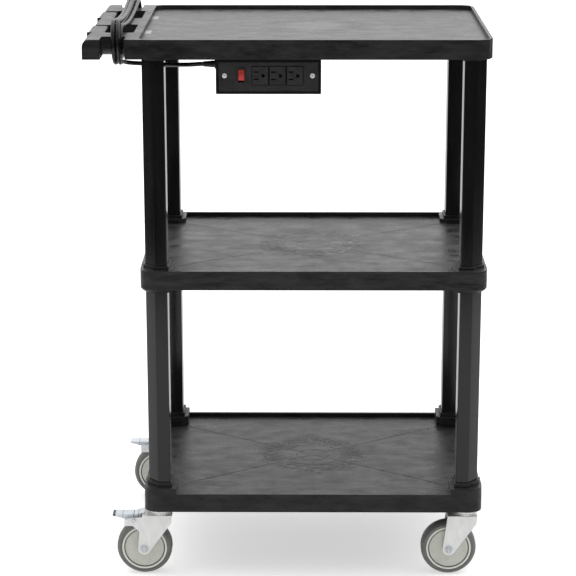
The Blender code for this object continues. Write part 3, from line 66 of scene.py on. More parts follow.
def makeCamera():
    look = cameraLook
    camera = bpy.data.cameras.new("camera")
    camera.sensor_width = look["sensor"]
    camera.lens = look["sensor"] * look["focalPixels"] / look["imagePixels"]
    camera.clip_end = look["farthest"]
    turn = Matrix.Rotation(-look["yaw"], 4, "Z") @ Matrix.Rotation(math.pi / 2 - look["pitch"], 4, "X")
    holder = linkObject("camera", camera)
    holder.matrix_world = Matrix.Translation(look["place"]) @ turn @ Matrix.Rotation(look["roll"], 4, "Z")
    bpy.context.scene.camera = holder


makeCamera()
print("camera set")


# Nodes for materials and geometry: an input is a number, a tuple, a socket or a list of sockets
def isSocket(value):
    return isinstance(value, bpy.types.NodeSocket)


def setInputs(tree, item, inputs):
    for key, value in inputs.items():
        if isSocket(value) or isinstance(value, list):
            for source in value if isinstance(value, list) else [value]:
                tree.links.new(source, item.inputs[key])
        else:
            item.inputs[key].default_value = value


def addNode(tree, kind, inputs, **settings):
    item = tree.nodes.new(kind)
    for key, value in settings.items():
        setattr(item, key, value)
    setInputs(tree, item, inputs)
    return item.outputs


def mathOf(tree, operation, first, *others):
    for second in others or (0.0,):
        first = addNode(tree, "ShaderNodeMath", {0: first, 1: second}, operation=operation)[0]
    return first


def productOf(tree, *factors):
    return mathOf(tree, "MULTIPLY", *factors)


def distanceOf(tree, value, middle):
    return mathOf(tree, "ABSOLUTE", mathOf(tree, "SUBTRACT", value, middle))


def radiusOf(tree, across, along):
    squares = [productOf(tree, side, side) for side in (across, along)]
    return mathOf(tree, "SQRT", mathOf(tree, "ADD", *squares))


# Noise seldom leaves 0.35 to 0.65, so a range starts and ends there unless told otherwise
def rangeOf(tree, value, low, high, start=0.35, end=0.65):
    inputs = {"Value": value, "From Min": start, "From Max": end, "To Min": low, "To Max": high}
    return addNode(tree, "ShaderNodeMapRange", inputs)["Result"]


def blendOf(tree, factor, first, second):
    inputs = {"Factor": factor, 2: first, 3: second}
    return addNode(tree, "ShaderNodeMix", inputs, data_type="FLOAT")[0]


# A colour is a socket, three numbers, or one number for a grey
def colourOf(value):
    if isSocket(value):
        return value
    return (*value, 1) if isinstance(value, tuple) else (value, value, value, 1)


def mixOf(tree, factor, first, second):
    inputs = {"Factor": factor, 6: colourOf(first), 7: colourOf(second)}
    return addNode(tree, "ShaderNodeMix", inputs, data_type="RGBA")[2]


def vectorOf(tree, x, y, z):
    return addNode(tree, "ShaderNodeCombineXYZ", {"X": x, "Y": y, "Z": z})[0]


def axesOf(tree, vector):
    return addNode(tree, "ShaderNodeSeparateXYZ", {"Vector": vector})


def noiseOf(tree, vector, scale, detail=2.0, breakUp=0.5):
    inputs = {"Vector": vector, "Scale": scale, "Detail": detail, "Roughness": breakUp}
    return addNode(tree, "ShaderNodeTexNoise", inputs)["Fac"]


def bumpOf(tree, height, depth, *normals, invert=False):
    inputs = {"Height": height, "Distance": depth, "Normal": list(normals)}
    return addNode(tree, "ShaderNodeBump", inputs, invert=invert)[0]


def attributeOf(tree, name):
    return addNode(tree, "ShaderNodeAttribute", {}, attribute_name=name)["Fac"]


def startMaterial(name):
    paint = bpy.data.materials.new(name)
    paint.use_nodes = True
    tree = paint.node_tree
    coords = addNode(tree, "ShaderNodeTexCoord", {})["Object"]
    return paint, tree, tree.nodes["Principled BSDF"], coords


# A surface has patches, fine grain and their bump, all on object coordinates
surfaceDefaults = {"detail": 4.0, "breakUp": 0.6, "grainDetail": 2.0, "stretch": (1, 1, 1),
                   "patchDepth": 0.0001, "metallic": 0.0, "ior": 1.5, "coat": 0.0, "coatRoughness": 0.1}
metalDefaults = {"grainScale": 1600, "patchDepth": 0.00002, "grainDepth": 0.00001, "metallic": 0.25}
surfaceLooks = {
    "shelf": {"colour": (0.009, 0.009, 0.0095), "otherColour": 0.025, "patchScale": 62, "grainScale": 1500,
              "stretch": (0.38, 1, 1.2), "roughness": (0.28, 0.46), "patchDepth": 0.0016,
              "grainDepth": 0.00010},
    "leg": {"colour": (0.0062, 0.0061, 0.0058), "otherColour": (0.0094, 0.0093, 0.0090), "patchScale": 30,
            "grainScale": 900, "stretch": (1, 1, 0.12), "roughness": (0.14, 0.22), "patchDepth": 0.0004,
            "grainDepth": 0.00003},
    "steel": {"colour": 0.020, "otherColour": 0.028, "patchScale": 60, "grainScale": 2200,
              "roughness": (0.38, 0.50), "grainDepth": 0.00006},
    # The outlets' dark recess colour is painted shade
    "outlet": {"colour": 0.024, "otherColour": 0.032, "recessShadeColour": 0.0015, "patchScale": 90,
               "grainScale": 2600, "roughness": (0.34, 0.44), "grainDepth": 0.00004},
    "rim": {"colour": 0.003, "otherColour": 0.005, "patchScale": 60, "grainScale": 2200,
            "roughness": (0.42, 0.52), "grainDepth": 0.00005, "ior": 1.3},
    "red": {"colour": (0.64, 0.040, 0.032), "otherColour": (0.74, 0.062, 0.048), "patchScale": 120,
            "grainScale": 2600, "roughness": (0.20, 0.30), "grainDepth": 0.00003, "coat": 0.4},
    "zinc": {**metalDefaults, "colour": (0.82, 0.82, 0.81), "otherColour": (0.91, 0.91, 0.90),
             "patchScale": 130, "stretch": (1, 1, 0.35), "roughness": (0.34, 0.46)},
    "pedal": {**metalDefaults, "colour": (0.70, 0.75, 0.82), "otherColour": (0.82, 0.85, 0.90),
              "patchScale": 160, "roughness": (0.30, 0.42)},
    "bolt": {**metalDefaults, "colour": (0.66, 0.71, 0.74), "otherColour": (0.78, 0.82, 0.84),
             "patchScale": 200, "roughness": (0.16, 0.26), "metallic": 0.95},
    "tyre": {"colour": (0.140, 0.141, 0.134), "otherColour": (0.170, 0.171, 0.163), "patchScale": 150,
             "grainScale": 1900, "roughness": (0.46, 0.60), "grainDepth": 0.00006},
    "hub": {"colour": (0.52, 0.53, 0.475), "otherColour": (0.58, 0.59, 0.53), "patchScale": 110,
            "grainScale": 1700, "roughness": (0.36, 0.46), "grainDepth": 0.00004},
    "cord": {"colour": 0.008, "otherColour": 0.013, "patchScale": 120, "grainScale": 2400,
             "roughness": (0.22, 0.32), "grainDepth": 0.00003},
}


def makeSurface(name, values):
    look = {**surfaceDefaults, **values}
    paint, tree, shader, coords = startMaterial(f"{name}Surface")
    stretched = addNode(tree, "ShaderNodeMapping", {"Vector": coords, "Scale": look["stretch"]})[0]
    patches = noiseOf(tree, stretched, look["patchScale"], look["detail"], look["breakUp"])
    grain = noiseOf(tree, coords, look["grainScale"], look["grainDetail"])
    colour = mixOf(tree, rangeOf(tree, patches, 0, 1), look["colour"], look["otherColour"])
    # Painted shade: a piece's marked recesses take the dark recess colour
    if "recessShadeColour" in look:
        colour = mixOf(tree, attributeOf(tree, "recessShade"), colour, look["recessShadeColour"])
    rough = rangeOf(tree, patches, *look["roughness"])
    wide = bumpOf(tree, patches, look["patchDepth"])
    fine = bumpOf(tree, grain, look["grainDepth"], wide)
    setInputs(tree, shader, {"Base Color": colour, "Roughness": rough, "Normal": fine, "IOR": look["ior"],
                             "Metallic": look["metallic"], "Coat Weight": look["coat"],
                             "Coat Roughness": look["coatRoughness"]})
    return {"material": paint, "tree": tree, "shader": shader, "coords": coords, "colour": colour,
            "rough": rough, "normal": fine, "wideBump": wide.node}


surfaces = {name: makeSurface(name, values) for name, values in surfaceLooks.items()}


def material(name):
    return surfaces[name]["material"]


# The decks' sink marks over the ribs (two diagonals, a cross and rings), a mottled annulus, a lighter disc
# round the middle, painted light on the upward faces, painted shade on the lower decks and two painted
# highlights at the top grips
deckMarks = {
    "depth": 0.0010, "width": 0.0045, "diagonal": (0.2465, 0.1661), "crossShare": 0.35,
    "rings": ((0.056, 0.0035), (0.030, 0.0030)), "topHeight": (0.970, 0.972), "topShare": 0.4,
    "flatNormal": (0.8, 0.95), "patchDepth": (0.0016, 0.0008), "blotchScale": 85, "blotchDetail": 3.0,
    "blotchShare": 0.6, "blotchLevels": (0.42, 0.58), "annulus": (0.080, 0.008, 0.030),
    "mottleLevels": (0.44, 0.56), "flowStretch": (20, 34, 34), "flowDetail": 5.0, "flowBreakUp": 0.65,
    "roughness": (0.24, 0.46), "markRoughness": 0.08, "colour": 0.034, "otherColour": (0.098, 0.097, 0.097),
    "disc": (0.030, 0.062, 0.9), "discColour": 0.17, "discShare": 0.4, "heights": (0.15, 0.97),
    "gloss": (0.26, 0.50), "lowDeckShadeColour": 0.022, "lowDeckShadeShare": 0.7, "gripHighlightColour": 0.55, "gripHighlightShare": 0.5,
    "gripHighlightEdge": 0.7, "gripHighlightSpots": ((-0.2482, 0.1066, 0.0070, 0.0230), (-0.2475, -0.0823, 0.0064, 0.0238))}


def deckLines(tree, x, y, radius):
    look = deckMarks
    width, crossShare = look["width"], look["crossShare"]
    alongX, alongY = look["diagonal"]
    length = math.hypot(alongX, alongY)
    across, along = productOf(tree, x, alongY / length), productOf(tree, y, alongX / length)
    lines = [(mathOf(tree, way, across, along), width, 1.0) for way in ("ADD", "SUBTRACT")]
    lines += [(x, width, crossShare), (y, width, crossShare)]
    lines += [(mathOf(tree, "SUBTRACT", radius, ring), ringWidth, 1.0) for ring, ringWidth in look["rings"]]
    marks = 0.0
    for distance, width, strength in lines:
        line = rangeOf(tree, mathOf(tree, "ABSOLUTE", distance), strength, 0, 0, width)
        marks = mathOf(tree, "MAXIMUM", line, marks)
    return marks


def addDeckMarks():
    look, surface = deckMarks, surfaces["shelf"]
    tree, coords = surface["tree"], surface["coords"]
    place = axesOf(tree, coords)
    x = mathOf(tree, "SUBTRACT", place["X"], shelfMiddle)
    y, z = place["Y"], place["Z"]
    radius = radiusOf(tree, x, y)
    top = rangeOf(tree, z, 0, 1, *look["topHeight"])
    normal = addNode(tree, "ShaderNodeNewGeometry", {})["Normal"]
    flat = rangeOf(tree, axesOf(tree, normal)["Z"], 0, 1, *look["flatNormal"])
    setInputs(tree, surface["wideBump"], {"Distance": rangeOf(tree, flat, *look["patchDepth"], 0, 1)})
    blotches = noiseOf(tree, coords, look["blotchScale"], look["blotchDetail"])
    marks = productOf(tree, deckLines(tree, x, y, radius),
                      rangeOf(tree, blotches, look["blotchShare"], 1, *look["blotchLevels"]))
    middle, inside, outside = look["annulus"]
    mottle = productOf(tree, rangeOf(tree, distanceOf(tree, radius, middle), 1, 0, inside, outside),
                       rangeOf(tree, blotches, 0, 1, *look["mottleLevels"]))
    marks = mathOf(tree, "MAXIMUM", marks, mottle)
    marks = productOf(tree, marks, flat, rangeOf(tree, top, 1, look["topShare"], 0, 1))
    bump = bumpOf(tree, marks, look["depth"], surface["normal"], invert=True)
    streaks = addNode(tree, "ShaderNodeMapping", {"Vector": coords, "Scale": look["flowStretch"]})[0]
    flow = noiseOf(tree, streaks, 1.0, look["flowDetail"], look["flowBreakUp"])
    rough = mathOf(tree, "ADD", rangeOf(tree, flow, *look["roughness"]),
                   productOf(tree, marks, look["markRoughness"]))
    colour = mixOf(tree, rangeOf(tree, flow, 0, 1), look["colour"], look["otherColour"])
    near, far, strength = look["disc"]
    disc = productOf(tree, rangeOf(tree, radius, strength, 0, near, far),
                     rangeOf(tree, flow, look["discShare"], 1))
    colour = mixOf(tree, disc, colour, look["discColour"])
    # Painted shade: the lower decks are painted darker, the more the lower they are
    colour = mixOf(tree, rangeOf(tree, z, look["lowDeckShadeShare"], 0, *look["heights"]), colour, look["lowDeckShadeColour"])
    # Painted highlights: the top deck's two grip spots are painted light
    edge = look["gripHighlightEdge"]
    for middleX, middleY, halfX, halfY in look["gripHighlightSpots"]:
        across = rangeOf(tree, distanceOf(tree, place["X"], middleX), 1, 0, halfX * edge, halfX)
        along = rangeOf(tree, distanceOf(tree, y, middleY), 1, 0, halfY * edge, halfY)
        spot = productOf(tree, across, along, top, rangeOf(tree, flow, look["gripHighlightShare"], 1))
        colour = mixOf(tree, spot, colour, look["gripHighlightColour"])
    # Painted light: upward faces take the lighter deck colour, while the sides keep the darker shelf colour
    setInputs(tree, surface["shader"], {
        "Base Color": mixOf(tree, flat, surface["colour"], colour),
        "Roughness": blendOf(tree, flat, surface["rough"], rough), "Normal": bump,
        "Specular IOR Level": rangeOf(tree, z, *look["gloss"], *look["heights"])})


addDeckMarks()


# Painted shade: the hub's groove is painted dark and the rim lighter than the disc, by the piece's own
# "shade" value
hubShades = {"levels": (0.0, 0.5, 1.0), "groove": (0.10, 0.10, 0.088), "rim": (0.74, 0.75, 0.68)}


def addHubShades():
    surface = surfaces["hub"]
    tree, shade = surface["tree"], attributeOf(surface["tree"], "shade")
    groove, disc, rim = hubShades["levels"]
    colour = mixOf(tree, rangeOf(tree, shade, 1, 0, groove, disc), surface["colour"], hubShades["groove"])
    colour = mixOf(tree, rangeOf(tree, shade, 0, 1, disc, rim), colour, hubShades["rim"])
    setInputs(tree, surface["shader"], {"Base Color": colour})


addHubShades()


# The seams across the pedals, and a painted dark reflection on the front pedal's tip
pedalMarks = {"seams": ((-0.3003, 0.0016, 0.35), (-0.2799, 0.0009, 1.0), (-0.2716, 0.0007, 0.7)),
              "seamEdge": 0.5, "seamColour": (0.12, 0.13, 0.15), "tip": (-0.3142, -0.3130),
              "front": (-0.01, 0.01), "tipColour": (0.035, 0.038, 0.045)}


def addPedalMarks():
    look, surface = pedalMarks, surfaces["pedal"]
    tree, colour = surface["tree"], surface["colour"]
    place = axesOf(tree, surface["coords"])
    for seam, width, strength in look["seams"]:
        away = distanceOf(tree, place["X"], seam)
        dark = rangeOf(tree, away, strength, 0, width * look["seamEdge"], width)
        colour = mixOf(tree, dark, colour, look["seamColour"])
    # Painted reflection: the front pedal's tip is painted dark
    tip = productOf(tree, rangeOf(tree, place["X"], 1, 0, *look["tip"]),
                    rangeOf(tree, place["Y"], 1, 0, *look["front"]))
    setInputs(tree, surface["shader"], {"Base Color": mixOf(tree, tip, colour, look["tipColour"])})


addPedalMarks()


# The rocker's pressed upper half is painted darker as shade, and carries a small round mark
rockerMarks = {"middle": 0.9188, "blend": 0.0006, "upper": 0.45, "upperShadeColour": (0.30, 0.014, 0.012),
               "mark": (-0.07885, 0.9248), "markRadius": 0.0011, "markEdge": 0.8,
               "markColour": (0.010, 0.008, 0.008)}


def addRockerMarks():
    look, surface = rockerMarks, surfaces["red"]
    tree = surface["tree"]
    place = axesOf(tree, surface["coords"])
    height, radius = look["middle"], look["markRadius"]
    # Painted shade: the upper half is painted darker
    upper = rangeOf(tree, place["Z"], 0, look["upper"], height, height + look["blend"])
    colour = mixOf(tree, upper, surface["colour"], look["upperShadeColour"])
    sides = [mathOf(tree, "SUBTRACT", place[axis], middle) for axis, middle in zip("XZ", look["mark"])]
    mark = rangeOf(tree, radiusOf(tree, *sides), 1, 0, radius * look["markEdge"], radius)
    setInputs(tree, surface["shader"], {"Base Color": mixOf(tree, mark, colour, look["markColour"])})


addRockerMarks()
print("materials made:", len(surfaces))


# Cord: the same route as the solids', from the strain relief to the plug
cordLook = {"diameter": 0.0076, "pitchGap": 0.0006, "layerGap": 0.0011, "foldRadius": 0.0275,
            "foldPlace": 0.174, "clearance": 0.0012, "sag": 0.0085, "outerTurns": 1.5, "turns": 3 + 5 / 6,
            "climbBefore": 5 / 24, "climbAfter": 2 / 24, "skirt": 0.034, "land": -0.323,
            "reliefEnd": (-0.1903, -0.2081, -0.0448), "plugBack": (0.1055, -0.0302), "webSide": 0.1455,
            "stepsPerTurn": 72, "spacing": 0.004, "roundness": 5}
leadPoints = (
    (-0.2061, -0.2057, -0.0460), (-0.2165, -0.1987, -0.0476), (-0.2322, -0.1829, -0.0502),
    (-0.2480, -0.1671, -0.0528), (-0.2637, -0.1512, -0.0548), (-0.2794, -0.1354, -0.0562),
    (-0.2898, -0.1284, -0.0568), (-0.3020, -0.1260, -0.0568), (-0.3143, -0.1284, -0.0558),
    (-0.3246, -0.1354, -0.0538), (-0.3316, -0.1458, -0.0508),
)


# A turn is a bend at the front web, a stretch on top, a bend at the rear web and a stretch below
def windingPoint(turns):
    look = cordLook
    diameter, clearance, fold = look["diameter"], look["clearance"], look["foldRadius"]
    end, outer = look["foldPlace"], look["outerTurns"]
    pitch = diameter + look["pitchGap"]
    middleZ = -look["skirt"] - clearance - diameter / 2 + fold
    spare = (look["turns"] - 2 * outer) * pitch
    right = look["land"] - diameter / 2 - look["pitchGap"] - spare
    x = right - pitch * (turns if turns <= outer else 2 * outer - turns)
    passed = (turns - outer + look["climbBefore"]) / (look["climbBefore"] + look["climbAfter"])
    passed = min(max(passed, 0.0), 1.0)
    radius = fold + (diameter + look["layerGap"]) * (1 - passed ** 2 * (3 - 2 * passed))
    share = turns % 1.0
    if share <= 1 / 3:
        angle = math.pi * share * 3
        return Vector((x, -end - radius * math.sin(angle), middleZ - radius * math.cos(angle)))
    if share <= 1 / 2:
        y = -end + 2 * end * (share - 1 / 3) * 6
        dip = fold + middleZ - diameter / 2 - clearance
        return Vector((x, y, middleZ + radius - dip * (1 - (y / end) ** 2)))
    if share <= 5 / 6:
        angle = math.pi * (share - 1 / 2) * 3
        return Vector((x, end + radius * math.sin(angle), middleZ + radius * math.cos(angle)))
    y = end - 2 * end * (share - 5 / 6) * 6
    return Vector((x, y, middleZ - radius - look["sag"] * (1 - (y / end) ** 2)))


def smoothRoute(route, spacing):
    padded = [route[0] * 2 - route[1], *route, route[-1] * 2 - route[-2]]
    points = []
    for index in range(1, len(padded) - 2):
        before, here, after, beyond = padded[index - 1:index + 3]
        steps = max(1, round((after - here).length / spacing))
        for step in range(steps):
            share = step / steps
            point = here * 2 + (after - before) * share
            point += (before * 2 - here * 5 + after * 4 - beyond) * share ** 2
            point += (here * 3 - before - after * 3 + beyond) * share ** 3
            points.append(point / 2)
    return [*points, route[-1]]


def cordRoute():
    look = cordLook
    diameter = look["diameter"]
    steps = look["stepsPerTurn"]
    winding = [windingPoint(step / steps) for step in range(round(look["turns"] * steps) + 1)]
    straight = Vector((0, diameter, 0))
    start = Vector(look["reliefEnd"])
    lead = [start, start - Vector((diameter / 2, 0, 0)), *map(Vector, leadPoints), winding[0] + straight]
    plugBack = Vector((winding[-1].x, *look["plugBack"]))
    web = winding[-1].copy()
    web.y = look["webSide"] - diameter / 2
    arrival = plugBack + Vector((0, diameter / 2, 0))
    rise = arrival - web
    tail = [winding[-1] - straight, (winding[-1] - straight).lerp(web, 1 / 2), web]
    for share in (1 / 4, 1 / 2, 3 / 4):
        height = 2 * share ** 2 if share <= 1 / 2 else 1 - 2 * (1 - share) ** 2
        tail.append(web + Vector((0, rise.y * share, rise.z * height)))
    tail += [arrival, plugBack]
    route = smoothRoute(lead, look["spacing"]) + winding + smoothRoute(tail, look["spacing"])
    shift = Vector((shelfMiddle, 0, topLip))
    return [point + shift for point in route]


def makeCord():
    route = cordRoute()
    curve = bpy.data.curves.new("powerCord", "CURVE")
    curve.dimensions = "3D"
    curve.bevel_depth = cordLook["diameter"] / 2
    curve.bevel_resolution = cordLook["roundness"]
    curve.use_fill_caps = True
    spline = curve.splines.new("POLY")
    spline.points.add(len(route) - 1)
    for target, point in zip(spline.points, route):
        target.co = (*point, 1)
    curve.materials.append(material("cord"))
    length = sum((far - near).length for near, far in zip(route, route[1:]))
    return linkObject("powerCord", curve), route, length


powerCord, cordPath, cordLength = makeCord()
print("cord made:", round(cordLength, 3), "m")


# Mesh helpers
meshLook = {"smoothAngle": 35, "bevelAngle": 28, "flatAngle": 0.6, "merge": 0.00002, "arcShare": 0.49,
            "normalWeight": 100}


def dressMesh(mesh, surface, smoothAngle):
    mesh.materials.clear()
    mesh.materials.append(material(surface))
    if smoothAngle is not None:
        mesh.shade_smooth()
        mesh.set_sharp_from_angle(angle=math.radians(smoothAngle))


def keepMesh(name, bm, surface, smoothAngle=meshLook["smoothAngle"]):
    mesh = bpy.data.meshes.new(name)
    bm.to_mesh(mesh)
    bm.free()
    dressMesh(mesh, surface, smoothAngle)
    return linkObject(name, mesh)


def faceOut(bm):
    bmesh.ops.recalc_face_normals(bm, faces=bm.faces)


def bakePiece(piece, surface, smoothAngle):
    graph = bpy.context.evaluated_depsgraph_get()
    mesh = bpy.data.meshes.new_from_object(piece.evaluated_get(graph), depsgraph=graph)
    old = piece.data
    piece.modifiers.clear()
    piece.data = mesh
    bpy.data.meshes.remove(old)
    mesh.name = piece.name
    dressMesh(mesh, surface, smoothAngle)
    return piece


def turnedMesh(profile, roundSteps, steps):
    # A closed profile turned about Z; a corner on the axis is a single point.
    bm = bmesh.new()
    rings = []
    for radius, height in roundedProfile(profile, roundSteps):
        angles = [2 * math.pi * step / steps for step in range(steps if radius else 1)]
        rings.append([bm.verts.new((radius * math.cos(angle), radius * math.sin(angle), height))
                      for angle in angles])
    for index, lower in enumerate(rings):
        upper = rings[(index + 1) % len(rings)]
        for step in range(steps):
            after = (step + 1) % steps
            places = ((lower, step), (lower, after), (upper, after), (upper, step))
            face = list(dict.fromkeys(ring[place % len(ring)] for ring, place in places))
            if len(face) > 2:
                bm.faces.new(face)
    faceOut(bm)
    return bm


def roundedProfile(points, steps):
    # Each (radius, height, rounding) corner of a closed profile becomes a short arc.
    result = []
    count = len(points)
    for index, (x, y, rounding) in enumerate(points):
        corner = Vector((x, y))
        if rounding == 0:
            result.append((x, y))
            continue
        before = Vector(points[index - 1][:2]) - corner
        after = Vector(points[(index + 1) % count][:2]) - corner
        half = before.angle(after) / 2
        share = meshLook["arcShare"]
        reach = min(rounding / math.tan(half), before.length * share, after.length * share)
        radius = reach * math.tan(half)
        middle = corner + (before.normalized() + after.normalized()).normalized() * (radius / math.sin(half))
        first = corner + before.normalized() * reach - middle
        last = corner + after.normalized() * reach - middle
        sweep = first.angle_signed(last)
        for step in range(steps + 1):
            spoke = Matrix.Rotation(-sweep * step / steps, 2) @ first
            result.append(tuple(middle + spoke))
    return result


def cadCopy(node):
    bm = bmesh.new()
    bm.from_mesh(nodes[node].data)
    bmesh.ops.remove_doubles(bm, verts=bm.verts, dist=meshLook["merge"])
    flat = math.radians(meshLook["flatAngle"])
    bmesh.ops.dissolve_limit(bm, angle_limit=flat, verts=bm.verts, edges=bm.edges)
    return bm


def dressNode(node, name, surface, rounding, segments=2):
    piece = keepMesh(name, cadCopy(node), surface)
    bevel = piece.modifiers.new("rounding", "BEVEL")
    bevel.width = rounding
    bevel.segments = segments
    bevel.limit_method = "ANGLE"
    bevel.angle_limit = math.radians(meshLook["bevelAngle"])
    weights = piece.modifiers.new("weights", "WEIGHTED_NORMAL")
    weights.keep_sharp = True
    weights.weight = meshLook["normalWeight"]
    return bakePiece(piece, surface, None)


def finishPiece(piece, body, slot, *replaced):
    if replaced:
        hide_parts(*replaced)
    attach(piece, body)


# Geometry node trees, with an input for each value of a dictionary
def startTree(name, values):
    tree = bpy.data.node_groups.new(name, "GeometryNodeTree")
    for way in ("INPUT", "OUTPUT"):
        tree.interface.new_socket("Geometry", in_out=way, socket_type="NodeSocketGeometry")
    for label, value in values.items():
        kind = "NodeSocketInt" if isinstance(value, int) else "NodeSocketFloat"
        tree.interface.new_socket(label, in_out="INPUT", socket_type=kind).default_value = value
    tree.interface.new_socket("Material", in_out="INPUT", socket_type="NodeSocketMaterial")
    return tree, tree.nodes.new("NodeGroupInput").outputs


def endTree(tree, start, geometry):
    real = addNode(tree, "GeometryNodeRealizeInstances", {"Geometry": geometry})[0]
    painted = addNode(tree, "GeometryNodeSetMaterial", {"Geometry": real, "Material": start["Material"]})[0]
    tree.links.new(painted, tree.nodes.new("NodeGroupOutput").inputs[0])
    return tree


def instancesOf(tree, points, shape, turn=(0, 0, 0), size=(1, 1, 1)):
    inputs = {"Points": points, "Instance": shape, "Rotation": turn, "Scale": size}
    return addNode(tree, "GeometryNodeInstanceOnPoints", inputs)[0]


def growPiece(name, base, tree, values, surface):
    piece = keepMesh(name, base, surface)
    step = piece.modifiers.new("grow", "NODES")
    step.node_group = tree
    identifiers = {item.name: item.identifier for item in tree.interface.items_tree if item.in_out == "INPUT"}
    for label, value in values.items():
        step[identifiers[label]] = value
    step[identifiers["Material"]] = material(surface)
    return bakePiece(piece, surface, meshLook["smoothAngle"])


# Shelves
shelfLook = {"rounding": 0.0012, "segments": 3}


def makeShelves():
    for node in ("top_shelf", "middle_shelf", "bottom_shelf"):
        piece = dressNode(node, f"{node}_moulding", "shelf", shelfLook["rounding"], shelfLook["segments"])
        finishPiece(piece, "cart", "shelf", node)
        print("shelf dressed:", node, len(piece.data.polygons), "faces")


makeShelves()


# Legs grow from their outline, which follows one rule for all eight
legLook = {"width": 0.0395, "depth": 0.045, "chamferAcross": 0.0175, "chamferBack": 0.019, "edge": 0.0022,
           "edgeSteps": 4, "merge": 0.00001}


def makeLegTree():
    tree, start = startTree("legTree", {"length": 1.0})
    outline = start["Geometry"]
    up = vectorOf(tree, 0, 0, start["length"])
    inputs = {"Mesh": outline, "Offset": up, "Individual": False}
    grown = addNode(tree, "GeometryNodeExtrudeMesh", inputs)["Mesh"]
    base = addNode(tree, "GeometryNodeFlipFaces", {"Mesh": outline})[0]
    both = addNode(tree, "GeometryNodeJoinGeometry", {"Geometry": [grown, base]})[0]
    closed = addNode(tree, "GeometryNodeMergeByDistance", {"Geometry": both, "Distance": legLook["merge"]})[0]
    return endTree(tree, start, closed)


def makeLegs():
    look = legLook
    tree = makeLegTree()
    halfX, halfY = look["width"] / 2, look["depth"] / 2
    outline = [(-halfX, -halfY), (halfX, -halfY), (halfX, halfY - look["chamferBack"]),
               (halfX - look["chamferAcross"], halfY), (-halfX, halfY)]
    outline = roundedProfile([(x, y, look["edge"]) for x, y in outline], look["edgeSteps"])
    for node in [f"{storey}_leg_{corner}" for storey in ("upper", "lower") for corner in corners]:
        low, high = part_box(node)
        signX = 1 if low.x > 0 else -1
        signY = 1 if low.y > 0 else -1
        middle = (low + high) / 2
        points = [(middle.x + signX * x, middle.y + signY * y) for x, y in outline]
        if signX * signY < 0:
            points.reverse()
        bm = bmesh.new()
        bm.faces.new([bm.verts.new((x, y, low.z)) for x, y in points])
        piece = growPiece(f"{node}_post", bm, tree, {"length": high.z - low.z}, "leg")
        finishPiece(piece, "cart", "leg", node)


makeLegs()
print("legs grown")


# Outlet strip
stripLook = {"housingRounding": 0.0005, "outletRounding": 0.0003, "rockerRounding": 0.0006,
             "recessShadeFrom": 0.0002}
plateLook = {"rim": 0.0046, "rimRound": 0.0013, "rimSteps": 5, "rimBreak": 0.0003, "corner": 0.0030,
             "cornerSteps": 4, "leastCorner": 0.0005, "seam": 0.0001, "sunk": 0.0004, "edge": 0.0004,
             "holeCorner": 0.0006, "outletGap": 0.0009, "bezelGap": -0.0004}
screwLook = {"headRadius": 0.0043, "dome": 0.0022, "crossLength": 0.0056, "crossWidth": 0.0011,
             "crossDepth": 0.0012, "turn": 1.2, "seed": 3}
cutterSize = 0.02
stripInserts = ("outlet_1", "outlet_2", "outlet_3", "switch_bezel")


def makeScrewTree():
    # Round heads with a cross recess stand on the base's points and face -Y.
    tree, start = startTree("screwTree", screwLook)
    ball = addNode(tree, "GeometryNodeMeshUVSphere", {"Segments": 32, "Rings": 16, "Radius": 1.0})["Mesh"]
    size = vectorOf(tree, start["headRadius"], start["headRadius"], start["dome"])
    dome = addNode(tree, "GeometryNodeTransform", {"Geometry": ball, "Scale": size})[0]
    cutters = [(vectorOf(tree, *[cutterSize] * 3), (0, 0, -cutterSize / 2))]
    lift = vectorOf(tree, 0, 0, start["dome"])
    for across, along in (("crossLength", "crossWidth"), ("crossWidth", "crossLength")):
        cutters.append((vectorOf(tree, start[across], start[along], start["crossDepth"]), lift))
    blocks = []
    for blockSize, place in cutters:
        block = addNode(tree, "GeometryNodeMeshCube", {"Size": blockSize})["Mesh"]
        blocks.append(addNode(tree, "GeometryNodeTransform", {"Geometry": block, "Translation": place})[0])
    head = addNode(tree, "GeometryNodeMeshBoolean", {"Mesh 1": dome, "Mesh 2": blocks},
                   operation="DIFFERENCE")["Mesh"]
    spin = addNode(tree, "FunctionNodeRandomValue", {"Seed": start["seed"], 3: start["turn"]},
                   data_type="FLOAT")[1]
    heads = instancesOf(tree, start["Geometry"], head, vectorOf(tree, math.pi / 2, spin, 0))
    return endTree(tree, start, heads)


def rectangleLoop(bm, box, inset, corner, y):
    left, right, bottom, top = [side + way * inset for side, way in zip(box, (1, -1, 1, -1))]
    outline = [(x, z, corner) for x, z in ((left, bottom), (right, bottom), (right, top), (left, top))]
    return [bm.verts.new((x, y, z)) for x, z in roundedProfile(outline, plateLook["cornerSteps"])]


def bridgeLoops(bm, first, second):
    for index, vert in enumerate(first):
        after = (index + 1) % len(first)
        bm.faces.new((vert, first[after], second[after], second[index]))


def fillLoops(bm, loops):
    edges = []
    for loop in loops:
        for index, vert in enumerate(loop):
            pair = (vert, loop[(index + 1) % len(loop)])
            edges.append(bm.edges.get(pair) or bm.edges.new(pair))
    bmesh.ops.triangle_fill(bm, use_beauty=True, edges=edges)


